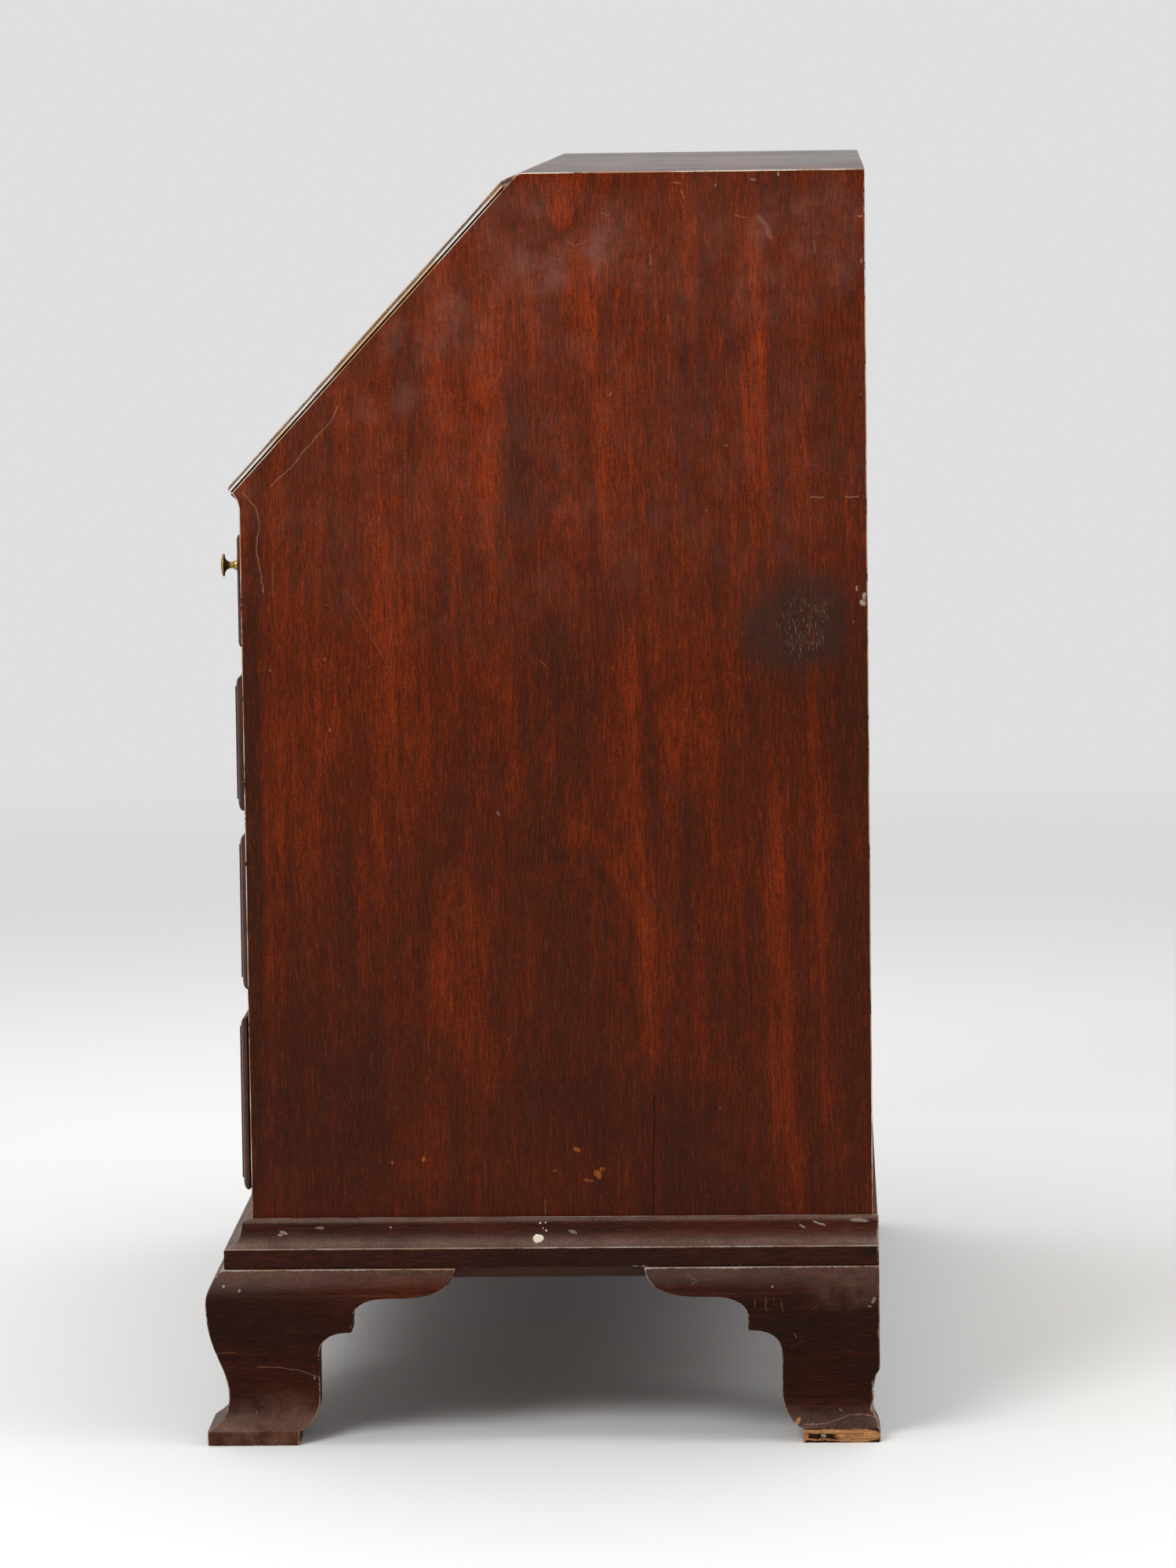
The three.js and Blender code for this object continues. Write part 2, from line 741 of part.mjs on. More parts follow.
function addLopers(desk) {
  const front = frontGroup(desk, topFloor + seatGap);
  const barOuter = innerHalf - loperSideClearance;
  const barInner = barOuter - loperThickness;
  for (const side of sides) {
    const bar = box([barInner, barOuter], [0, loperHeight], [-loperLength, seatGap + loperMould.edge]);
    const lip = thumbMouldedSlab(
      [barInner - loperLipOverlap, barOuter + loperLipOverlap],
      [0, loperHeight],
      loperLipThickness,
      loperMould,
    ).translate(0, 0, seatGap);
    addPart(front, `loper_${side}`, forSide(side, joined([bar, lip])), finishes.darkWood);
    const seat = loperLipThickness + 2 * seatGap;
    const pull = turnedKnob(knob).translate((barInner + barOuter) / 2, loperKnobShare * loperHeight, seat);
    addPart(front, `loper_knob_${side}`, forSide(side, joined([pull])), finishes.brass);
  }
}

// Drawers

function drawerFront(level) {
  const bodyHalf = level.half - drawerSideClearance;
  const lipHalf = level.half + drawerLipOverlap;
  const lipTop = level.opening + level.lipTopOverlap;
  const body = box(
    [-bodyHalf, bodyHalf],
    [seatGap, level.opening - drawerTopClearance],
    [-drawerFrontThickness, level.standOff + drawerMould.edge],
  );
  const lip = thumbMouldedSlab([-lipHalf, lipHalf], [seatGap, lipTop], drawerLipThickness, drawerMould);
  return joined([body, lip.translate(0, 0, level.standOff)]);
}

// Sides, back and bottom: the sides run below the bottom, and the front closes the near end
function drawerBox(level) {
  const half = level.half - drawerSideClearance;
  const near = -drawerFrontThickness - seatGap;
  const far = -drawerLength;
  const top = level.opening - drawerSideDrop;
  const inside = half - drawerWall;
  const floor = seatGap + drawerBottomRise + drawerBottomThickness;
  const whole = box([-half, half], [seatGap, top], [far, near]);
  const room = box([-inside, inside], [floor, top + cutOverrun], [far + drawerWall, near + cutOverrun]);
  const under = box(
    [-inside, inside],
    [seatGap - cutOverrun, seatGap + drawerBottomRise],
    [far - cutOverrun, near + cutOverrun],
  );
  return cut(whole, [room, under]);
}

// Points of the pull's back plate from the top middle round the right side to the bottom, as
// shares of half its width and half its height
const plateShares = [
  [0, 1], [0.18, 0.94], [0.3, 0.66], [0.46, 0.82], [0.62, 0.6], [0.8, 0.62], [0.97, 0.38], [1, 0.06],
  [0.9, -0.22], [0.72, -0.3], [0.56, -0.34], [0.5, -0.62], [0.34, -0.66], [0.16, -0.74], [0, -1],
];

function plateOutline() {
  const right = plateShares.map(([across, up]) => [across * pullPlate.width / 2, up * pullPlate.height / 2]);
  const left = right.slice(1, -1).reverse().map(([across, up]) => [-across, up]);
  return [...right, ...left];
}

// The plate with its two posts, in axes with z facing outwards from the drawer
function pullMount() {
  const parts = [drawnAlongZ(plateOutline(), 0, pullPlate.thickness)];
  const bores = [];
  const bore = bail.pinRadius + bail.boreClearance;
  const postTop = pullPost.reach + pullPost.radius;
  for (const direction of [-1, 1]) {
    const middle = direction * pullSpacing / 2;
    const post = new THREE.CylinderGeometry(pullPost.radius, pullPost.radius, postTop, 12);
    parts.push(post.rotateX(Math.PI / 2).translate(middle, pullPost.rise, postTop / 2));
    const span = [middle - pullPost.radius - cutOverrun, middle + pullPost.radius + cutOverrun];
    bores.push(barAlongX(bore, span, [pullPost.rise, pullPost.reach], 10));
  }
  return cut(joined(parts), bores);
}

// Points down one leg of the bail, as shares of the leg's distance out and of the drop
const bailShares = [[1, 0], [1.05, -0.3], [0.93, -0.68], [0.62, -0.94], [0.25, -0.99]];

function swingingBail() {
  const leg = pullSpacing / 2 + pullPost.radius + bail.legGap + bail.radius;
  const right = bailShares.map(([out, down]) => new THREE.Vector3(out * leg, down * bail.drop, 0));
  const left = right.map((point) => new THREE.Vector3(-point.x, point.y, 0)).reverse();
  const path = new THREE.CatmullRomCurve3([...right, new THREE.Vector3(0, -bail.drop, 0), ...left]);
  const circle = new THREE.Path().absarc(0, 0, bail.radius, 0, 2 * Math.PI);
  const section = new THREE.Shape(circle.getPoints(6).slice(0, -1));
  const handle = new THREE.ExtrudeGeometry(section, { steps: 22, extrudePath: path, bevelEnabled: false });
  const pinEnd = pullSpacing / 2 - pullPost.radius;
  const pins = [-1, 1].map((direction) => {
    const ends = [direction * pinEnd, direction * (leg + bail.pinRadius)];
    return barAlongX(bail.pinRadius, [Math.min(...ends), Math.max(...ends)], [0, 0], 8);
  });
  return joined([handle, ...pins]).translate(0, pullPost.rise, pullPost.reach);
}

function addDrawers(desk) {
  for (const level of stackedLevels) {
    const group = frontGroup(desk, level.floor);
    addPart(group, `drawer_front_${level.name}`, drawerFront(level), finishes.darkWood);
    addPart(group, `drawer_box_${level.name}`, drawerBox(level), finishes.plainWood);

    const face = level.standOff + drawerLipThickness + seatGap;
    const height = (level.opening + level.lipTopOverlap) / 2;
    for (const side of sides) {
      const place = (side === 'left' ? -1 : 1) * pullPlaceShare * innerHalf;
      const name = `${level.name}_${side}`;
      addPart(group, `pull_plate_${name}`, pullMount().translate(place, height, face), finishes.brass);
      addPart(group, `pull_bail_${name}`, swingingBail().translate(place, height, face), finishes.brass);
    }
  }
}

// Gallery

const galleryFront = topFront + gallery.behindTop;
const galleryBack = backBoardFront - seatGap;
const galleryFloor = writingHeight + seatGap;
const galleryTop = topUnderside - seatGap;
const galleryHalf = innerHalf - seatGap;
const galleryHeight = topUnderside - writingHeight;
const galleryDrawerHeight = gallery.drawerHeightShare * galleryHeight;
const valanceDepth = gallery.valanceShare * galleryHeight;
const shelfUnderside = galleryFloor + galleryDrawerHeight;
const shelfTop = shelfUnderside + gallery.board;

// The middles of the boards that part a width into equal bays
function boardsBetween(bays) {
  const pitch = 2 * galleryHalf / bays;
  return Array.from({ length: bays - 1 }, (unused, index) => -galleryHalf + pitch * (index + 1));
}

function galleryPartitions() {
  const halfBoard = gallery.board / 2;
  const depth = [galleryFront, galleryBack];
  const behindValance = [galleryFront + gallery.board + seatGap, galleryBack];
  const shelf = box([-galleryHalf, galleryHalf], depth, [shelfUnderside, shelfTop]);
  const lower = boardsBetween(gallery.drawerBays).map((middle) => (
    box([middle - halfBoard, middle + halfBoard], depth, [galleryFloor, shelfUnderside + halfBoard])
  ));
  const upper = boardsBetween(gallery.holes).map((middle) => (
    box([middle - halfBoard, middle + halfBoard], behindValance, [shelfTop - halfBoard, galleryTop])
  ));
  return joined([shelf, ...lower, ...upper]);
}

// The valance: one scalloped arch over each pigeonhole, with a drop between them
function galleryValance() {
  const pitch = 2 * galleryHalf / gallery.holes;
  const low = galleryTop - valanceDepth;
  const mid = galleryTop - valanceDepth / 2;
  const high = galleryTop - valanceDepth / 4;
  const path = new THREE.Path();
  path.moveTo(-galleryHalf, low);
  for (let hole = 0; hole < gallery.holes; hole += 1) {
    const start = -galleryHalf + hole * pitch;
    path.quadraticCurveTo(start + pitch / 8, low, start + pitch / 6, mid);
    path.quadraticCurveTo(start + pitch / 4, high, start + pitch / 2, high);
    path.quadraticCurveTo(start + 3 * pitch / 4, high, start + 5 * pitch / 6, mid);
    path.quadraticCurveTo(start + 7 * pitch / 8, low, start + pitch, low);
  }
  const board = [...curvePoints(path, 3), [galleryHalf, galleryTop], [-galleryHalf, galleryTop]];
  return drawnAlongY(board, galleryFront, galleryFront + gallery.board);
}

// A small drawer in axes with z facing outwards, with its turned wooden knob
function smallDrawerBox(width) {
  const half = width / 2;
  const height = galleryDrawerHeight - 2 * seatGap - smallDrawer.clearance;
  const length = galleryBack - galleryFront - smallDrawer.backGap;
  const whole = box([-half, half], [0, height], [-length, 0]);
  const room = box(
    [-half + smallDrawer.wall, half - smallDrawer.wall],
    [smallDrawer.wall, height + cutOverrun],
    [-length + smallDrawer.wall, -smallDrawer.front],
  );
  const reach = smallDrawer.knobReach;
  const button = turnedKnob({
    collarRadius: smallDrawer.knobRadius / 2,
    neckRadius: smallDrawer.knobRadius / 3,
    headRadius: smallDrawer.knobRadius,
    collar: reach / 6,
    neck: reach / 6,
    flare: reach / 3,
    head: reach / 3,
  });
  return joined([cut(whole, [room]), button.translate(0, height / 2, -seatGap)]);
}

function addGallery(desk) {
  addPart(desk, 'gallery_partitions', galleryPartitions(), finishes.caseWood);
  addPart(desk, 'gallery_valance', galleryValance(), finishes.caseWood);

  const group = frontGroup(desk, galleryFloor + seatGap);
  group.position.y = galleryFront;
  const edges = [-galleryHalf, ...boardsBetween(gallery.drawerBays), galleryHalf];
  const names = ['left', 'middle', 'right'];
  names.forEach((name, bay) => {
    const middle = (edges[bay] + edges[bay + 1]) / 2;
    const width = 2 * galleryHalf / gallery.drawerBays - gallery.board - 2 * smallDrawer.clearance;
    addPart(group, `small_drawer_${name}`, smallDrawerBox(width).translate(middle, 0, 0), finishes.caseWood);
  });
}

// The desk stands with the middle of its footprint at the origin
const desk = new THREE.Group();
desk.position.y = (footBulge.projection - baseBack) / 2;
addCase(desk);
addBase(desk);
addLid(desk);
addLopers(desk);
addDrawers(desk);
addGallery(desk);

const slantFrontDesk = new THREE.Group();
slantFrontDesk.add(desk);

export default slantFrontDesk;
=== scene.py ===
"""The looks of a slant-front desk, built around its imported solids.

The desk's own frame has x along its width, y towards its back and z up from the floor. Sizes
here are in millimetres with y measured back from the case's front face, and each finished
surface is moved into the frame's metres as a whole.
"""

import logging
import math
from collections.abc import Callable, Iterable
from dataclasses import dataclass, field, replace
from enum import Enum

import bpy
import numpy as np
from mathutils import Matrix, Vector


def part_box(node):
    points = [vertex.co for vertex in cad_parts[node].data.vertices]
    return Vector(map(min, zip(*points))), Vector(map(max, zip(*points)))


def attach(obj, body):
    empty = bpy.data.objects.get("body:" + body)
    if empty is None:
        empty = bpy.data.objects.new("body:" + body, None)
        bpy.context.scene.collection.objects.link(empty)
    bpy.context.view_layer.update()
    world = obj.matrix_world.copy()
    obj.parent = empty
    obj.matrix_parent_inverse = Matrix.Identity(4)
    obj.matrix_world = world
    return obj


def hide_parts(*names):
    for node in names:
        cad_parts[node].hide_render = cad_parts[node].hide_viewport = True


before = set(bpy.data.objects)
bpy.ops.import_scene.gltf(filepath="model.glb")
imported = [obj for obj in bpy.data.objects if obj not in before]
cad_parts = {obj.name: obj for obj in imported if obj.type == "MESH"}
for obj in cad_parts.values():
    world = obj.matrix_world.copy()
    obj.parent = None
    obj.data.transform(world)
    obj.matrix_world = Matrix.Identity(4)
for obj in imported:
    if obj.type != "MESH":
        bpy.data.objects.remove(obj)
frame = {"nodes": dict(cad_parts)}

Array = np.ndarray
Material = bpy.types.Material
Object = bpy.types.Object
Colour = tuple[float, float, float]
Point = tuple[float, ...] | Array

MM = 0.001
CASE_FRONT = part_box("loper_partition_right")[0].y
SHARP_ANGLE = math.radians(38)
THINNEST = 0.02
SIDES = {"left": -1, "right": 1}

log = logging.getLogger("desk")


def linear(code: str) -> Colour:
    """Turns a screen colour such as "8a4b2c" into the linear light values that shaders use."""
    shares = [int(code[at:at + 2], 16) / 255 for at in (0, 2, 4)]
    return tuple(s / 12.92 if s <= 0.04045 else ((s + 0.055) / 1.055) ** 2.4 for s in shares)


# Surfaces


@dataclass
class Surface:
    """A closed surface: its points, its faces, and how worn each point is, from 0 to 1."""

    points: Array
    faces: list[list[int]]
    worn: Array

    def mapped(self, rule) -> "Surface":
        """Moves every point by a rule on the whole array of points, faces kept outwards."""
        return Surface(rule(self.points), self.faces, self.worn).outward()

    def mirrored(self) -> "Surface":
        """The same surface on the other side of the desk, where x changes its sign."""
        return self.mapped(lambda points: points * (-1, 1, 1))

    def moved(self, x: float = 0, y: float = 0, z: float = 0) -> "Surface":
        """The same surface a step away."""
        return Surface(self.points + (x, y, z), self.faces, self.worn)

    def volume(self) -> float:
        """The signed volume: a sixth of the triple products of each face's fan of triangles."""
        total = 0.0
        for size in {len(face) for face in self.faces}:
            corners = self.points[np.array([f for f in self.faces if len(f) == size])]
            first, second, third = corners[:, :1], corners[:, 1:-1], corners[:, 2:]
            total += (np.cross(second, third) * first).sum() / 6
        return total

    def outward(self) -> "Surface":
        """Turns every face round if the surface is inside out."""
        if self.volume() < 0:
            self.faces = [face[::-1] for face in self.faces]
        return self


def joined(surfaces: list[Surface]) -> Surface:
    """Puts several closed surfaces into one piece."""
    starts = np.cumsum([0] + [len(s.points) for s in surfaces])
    faces = [[at + int(start) for at in face] for s, start in zip(surfaces, starts) for face in s.faces]
    return Surface(np.concatenate([s.points for s in surfaces]), faces,
                   np.concatenate([s.worn for s in surfaces]))


def strips(rows: int, size: int) -> Array:
    """The quads between rows of points that run round: points j and j + 1 of a row, and the same
    two of the next row."""
    here = np.arange(size)
    after = (here + 1) % size
    start = np.arange(rows - 1)[:, None] * size
    beyond = start + size
    quads = np.stack([start + here, start + after, beyond + after, beyond + here], -1)
    return quads.reshape(-1, 4)


def loft(rings: Array, worn: Array | float = 0.0) -> Surface:
    """Skins closed outlines one after another and closes both ends.

    Args:
        rings: Points as an array of rings by points by three.
        worn: Wear of each ring, of each point of a ring, or of every point.

    Returns:
        The closed surface, its faces pointing outwards.
    """
    count, size = rings.shape[:2]
    ends = [list(range(size))[::-1], list(range((count - 1) * size, count * size))]
    wear = np.broadcast_to(np.asarray(worn, float), (count, size)).reshape(-1)
    return Surface(rings.reshape(-1, 3), strips(count, size).tolist() + ends, wear).outward()


def raised(plans: Array, along: Point) -> Array:
    """Adds a third coordinate to rows of (a, b) points, one value for each row."""
    third = np.broadcast_to(np.asarray(along, float)[:, None, None], (*plans.shape[:2], 1))
    return np.concatenate([plans, third], 2)


def arc_shares(steps: int) -> tuple[Array, Array]:
    """The sine and cosine of a quarter turn, in equal steps from 0."""
    turn = np.linspace(0, math.pi / 2, steps + 1)
    return np.sin(turn), np.cos(turn)


def curve(start: Point, control: Point, end: Point, steps: int) -> Array:
    """A quadratic curve: the mean of its three points weighted by (1-t)^2, 2t(1-t) and t^2."""
    t = np.linspace(0, 1, steps + 1)[:, None]
    start, control, end = (np.asarray(p, float) for p in (start, control, end))
    return (1 - t) ** 2 * start + 2 * t * (1 - t) * control + t ** 2 * end


def cubic(start: Point, first: Point, second: Point, end: Point, steps: int) -> Array:
    """A cubic curve: its four points weighted by the terms of ((1-t) + t)^3."""
    t = np.linspace(0, 1, steps + 1)[:, None]
    start, first, second, end = (np.asarray(p, float) for p in (start, first, second, end))
    ends = (1 - t) ** 3 * start + 3 * t * (1 - t) ** 2 * first
    return ends + 3 * t ** 2 * (1 - t) * second + t ** 3 * end


def spline(points: Array, steps: int, closed: bool = False) -> Array:
    """A smooth curve through points.

    Each span is a cubic whose slope at either end is half the step between that end's neighbours.

    Args:
        points: The points, one per row.
        steps: How many steps a span is cut into.
        closed: Whether the curve comes back to its first point.

    Returns:
        The curve's points, the last given point among them if it is open.
    """
    points = np.asarray(points, float)
    if closed:
        padded = np.concatenate([points[-1:], points, points[:2]])
    else:
        padded = np.concatenate([2 * points[:1] - points[1:2], points, 2 * points[-1:] - points[-2:-1]])
    count = len(padded) - 3
    before, start, end, after = (padded[at:at + count, None] for at in range(4))
    t = np.linspace(0, 1, steps, endpoint=False)[None, :, None]
    spans = 0.5 * (2 * start + (end - before) * t + (2 * before - 5 * start + 4 * end - after) * t ** 2
                   + (3 * start - before - 3 * end + after) * t ** 3)
    run = spans.reshape(-1, points.shape[1])
    return run if closed else np.concatenate([run, points[-1:]])


def inset(outline: Array, distance: float) -> Array:
    """Moves each edge of an outline inwards.

    A point goes along the sum of its two edges' normals, divided by one plus their product.

    Args:
        outline: Closed outline of (across, up) points.
        distance: How far in its edges move.

    Returns:
        The new outline, point for point.
    """
    into = outline - np.roll(outline, 1, 0)
    out = np.roll(outline, -1, 0) - outline
    area = (outline[:, 0] * np.roll(outline[:, 1], -1) - outline[:, 1] * np.roll(outline[:, 0], -1)).sum()
    normals = []
    for edge in (into, out):
        edge = edge / np.maximum(np.linalg.norm(edge, axis=1, keepdims=True), 1e-9)
        normals.append(np.stack([-edge[:, 1], edge[:, 0]], 1) * np.sign(area))
    product = (normals[0] * normals[1]).sum(1, keepdims=True)
    return outline + distance * (normals[0] + normals[1]) / np.maximum(1 + product, 0.3)


def rounded(corners: Array | list[Point], radius: float, steps: int = 3) -> Array:
    """Rounds the corners of an outline.

    Args:
        corners: Closed outline of (across, up) corners.
        radius: How far along a corner's two edges its curve begins and ends.
        steps: Steps of each curve, whose middle point is the corner itself.

    Returns:
        The outline with each corner turned into a curve.
    """
    corners = np.asarray(corners, float)
    before, after = np.roll(corners, 1, 0) - corners, np.roll(corners, -1, 0) - corners
    reach = [edge / np.linalg.norm(edge, axis=1, keepdims=True) * radius for edge in (before, after)]
    t = np.linspace(0, 1, steps + 1)[None, :, None]
    start, end = (corners + reach[0])[:, None], (corners + reach[1])[:, None]
    return ((1 - t) ** 2 * start + 2 * t * (1 - t) * corners[:, None] + t ** 2 * end).reshape(-1, 2)


def eased_prism(outline: Array, low: float, high: float, ease: float = 0.8,
                rubbed: Array | float = 0.0) -> Surface:
    """Draws an outline along its third axis, with both of its ends eased by a quarter round.

    On the round the outline is set in by ease * (1 - sin a) while it travels ease * (1 - cos a).

    Args:
        outline: Closed outline of (across, up) points.
        low: Start along the third axis.
        high: End along the third axis.
        ease: Radius of the worn arris.
        rubbed: Wear of the outline's own points, all along.

    Returns:
        The surface, its points as (across, up, along).
    """
    sine, cosine = arc_shares(3)
    insets, travel = ease * (1 - sine), ease * (1 - cosine)
    wear = np.array([0, 1, 1, 0])
    along = np.r_[low + travel, high - travel[::-1]]
    outlines = np.stack([inset(outline, distance) for distance in np.r_[insets, insets[::-1]]])
    return loft(raised(outlines, along), np.maximum(np.r_[wear, wear[::-1]][:, None], rubbed))


def slab(rings: list[tuple[float, ...]], corner: float = 0.8) -> Surface:
    """Skins upright rectangles with rounded corners, one in front of another.

    Args:
        rings: For each rectangle its low x, high x, low z, high z, its place outwards and its wear.
        corner: Radius of the rectangles' corners.

    Returns:
        The surface, its points as (x, z, outwards).
    """
    x0, x1, z0, z1, out, wear = np.array(rings, float).T[:, :, None]
    sine, cosine = arc_shares(3)
    quarters = [(1, 1, cosine, sine), (-1, 1, sine, cosine), (-1, -1, cosine, sine), (1, -1, sine, cosine)]
    across = np.concatenate([(x1 - corner if sx > 0 else x0 + corner) + sx * corner * a
                             for sx, _, a, _ in quarters], 1)
    height = np.concatenate([(z1 - corner if sz > 0 else z0 + corner) + sz * corner * b
                             for _, sz, _, b in quarters], 1)
    return loft(np.stack([across, height, np.broadcast_to(out, across.shape)], 2), wear)


def drawn_in(low: Array, high: Array, by: float, out: float, wear: float) -> tuple[float, ...]:
    """A slab's rectangle round a solid's front, drawn in on all four sides."""
    return low[0] + by, high[0] - by, low[2] + by, high[2] - by, out, wear


def turned(profile: Array | list[Point], sides: int) -> Surface:
    """Spins (radius, along) points round the third axis: (r cos a, r sin a, along)."""
    profile = np.asarray(profile, float)
    angle = np.arange(sides) * (2 * math.pi / sides)
    radius = np.maximum(profile[:, :1], THINNEST)
    return loft(raised(np.stack([radius * np.cos(angle), radius * np.sin(angle)], 2), profile[:, 1]))


def tube(path: Array, radius: Array | float, sides: int) -> Surface:
    """Carries a circle, spanned by the third axis and the path's own normal, along a path.

    Args:
        path: Points in a plane of constant third coordinate.
        radius: The circle's radius, or one for each point.
        sides: How many points the circle has.

    Returns:
        The closed tube.
    """
    slope = np.gradient(path, axis=0)
    slope /= np.linalg.norm(slope, axis=1, keepdims=True)
    normal = np.stack([-slope[:, 1], slope[:, 0], np.zeros(len(path))], 1)
    angle = (np.arange(sides) * (2 * math.pi / sides))[None, :, None]
    radius = np.broadcast_to(np.asarray(radius, float), len(path))[:, None, None]
    ring = normal[:, None] * np.cos(angle) + np.array([0, 0, 1.0]) * np.sin(angle)
    return loft(path[:, None] + radius * ring)


def along_x(points: Array) -> Array:
    """Lays (y, z, along) points out as (x, y, z)."""
    return points[:, [2, 0, 1]]


def along_y(points: Array) -> Array:
    """Lays (x, z, along) points out as (x, y, z)."""
    return points[:, [0, 2, 1]]


def facing_front(points: Array) -> Array:
    """Lays (x, z, outwards) points out as (x, y, z), outwards being towards the front."""
    return points[:, [0, 2, 1]] * (1, -1, 1)


def cad_box(node: str) -> tuple[Array, Array]:
    """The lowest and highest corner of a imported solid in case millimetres."""
    low, high = (np.array(corner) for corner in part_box(node))
    shift = np.array([0, CASE_FRONT, 0])
    return (low - shift) / MM, (high - shift) / MM


class Slot(Enum):
    """The record's material slots."""

    CASE = "case_wood"
    DARK = "dark_wood"
    PLAIN = "plain_wood"
    BRASS = "brass"


def add_piece(name: str, surface: Surface, finish: Material, body: str,
              stands_for: tuple[str, ...] = ()) -> Object:
    """Makes a surface into a piece of the desk.

    Args:
        name: The piece's name.
        surface: The surface in case millimetres.
        finish: The material it shows.
        body: The moving or fixed body it rides on.
        stands_for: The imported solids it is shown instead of.

    Returns:
        The piece, at the origin, with its place in its mesh.
    """
    mesh = bpy.data.meshes.new(name)
    mesh.from_pydata((surface.points * MM + (0, CASE_FRONT, 0)).tolist(), [], surface.faces)
    mesh.attributes.new("worn", "FLOAT", "POINT").data.foreach_set("value", surface.worn.astype(np.float32))
    mesh.shade_smooth()
    mesh.set_sharp_from_angle(angle=SHARP_ANGLE)
    mesh.materials.append(finish)
    piece = bpy.data.objects.new(name, mesh)
    bpy.context.scene.collection.objects.link(piece)
    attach(piece, body)
    if stands_for:
        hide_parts(*stands_for)
    log.info("%s: %d faces on %s", name, len(surface.faces), body)
    return piece


def add_both(name: str, node: str, right: Surface, finish: Material, body: str,
             left: Surface | None = None) -> None:
    """Makes a right-hand surface and its mirror image into two pieces.

    Args:
        name: The pieces' name, with {} where their side goes.
        node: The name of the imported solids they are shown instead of, in the same way.
        right: The right-hand surface.
        finish: The material they show.
        body: The body they ride on.
        left: A right-hand surface to be mirrored for the left, where the two differ.
    """
    for side, surface in (("right", right), ("left", (left or right).mirrored())):
        add_piece(name.format(side), surface, finish, body, (node.format(side),))


def dress(finish: Material, *nodes: str) -> None:
    """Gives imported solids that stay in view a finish."""
    for node in nodes:
        for slot in frame["nodes"][node].material_slots:
            slot.material = finish


# Shaders


def arithmetic(operation: str, swapped: bool = False) -> Callable[["Val", "Input"], "Val"]:
    """Makes an operator that adds the node for it.

    Args:
        operation: The operation of the Math node.
        swapped: Whether the other number comes first.

    Returns:
        The method.
    """
    def method(self: "Val", other: "Input") -> "Val":
        """Works the operation out."""
        return self.shade.maths(operation, *((other, self) if swapped else (self, other)))

    return method


@dataclass
class Val:
    """A number that changes over a surface. Arithmetic on it adds the nodes that work it out."""

    shade: "Shade"
    socket: bpy.types.NodeSocket

    __add__ = __radd__ = arithmetic("ADD")
    __sub__, __rsub__ = arithmetic("SUBTRACT"), arithmetic("SUBTRACT", swapped=True)
    __mul__ = __rmul__ = arithmetic("MULTIPLY")
    __truediv__, __pow__ = arithmetic("DIVIDE"), arithmetic("POWER")


Socket = bpy.types.NodeSocket
Input = Val | Socket | float | tuple[float, ...]


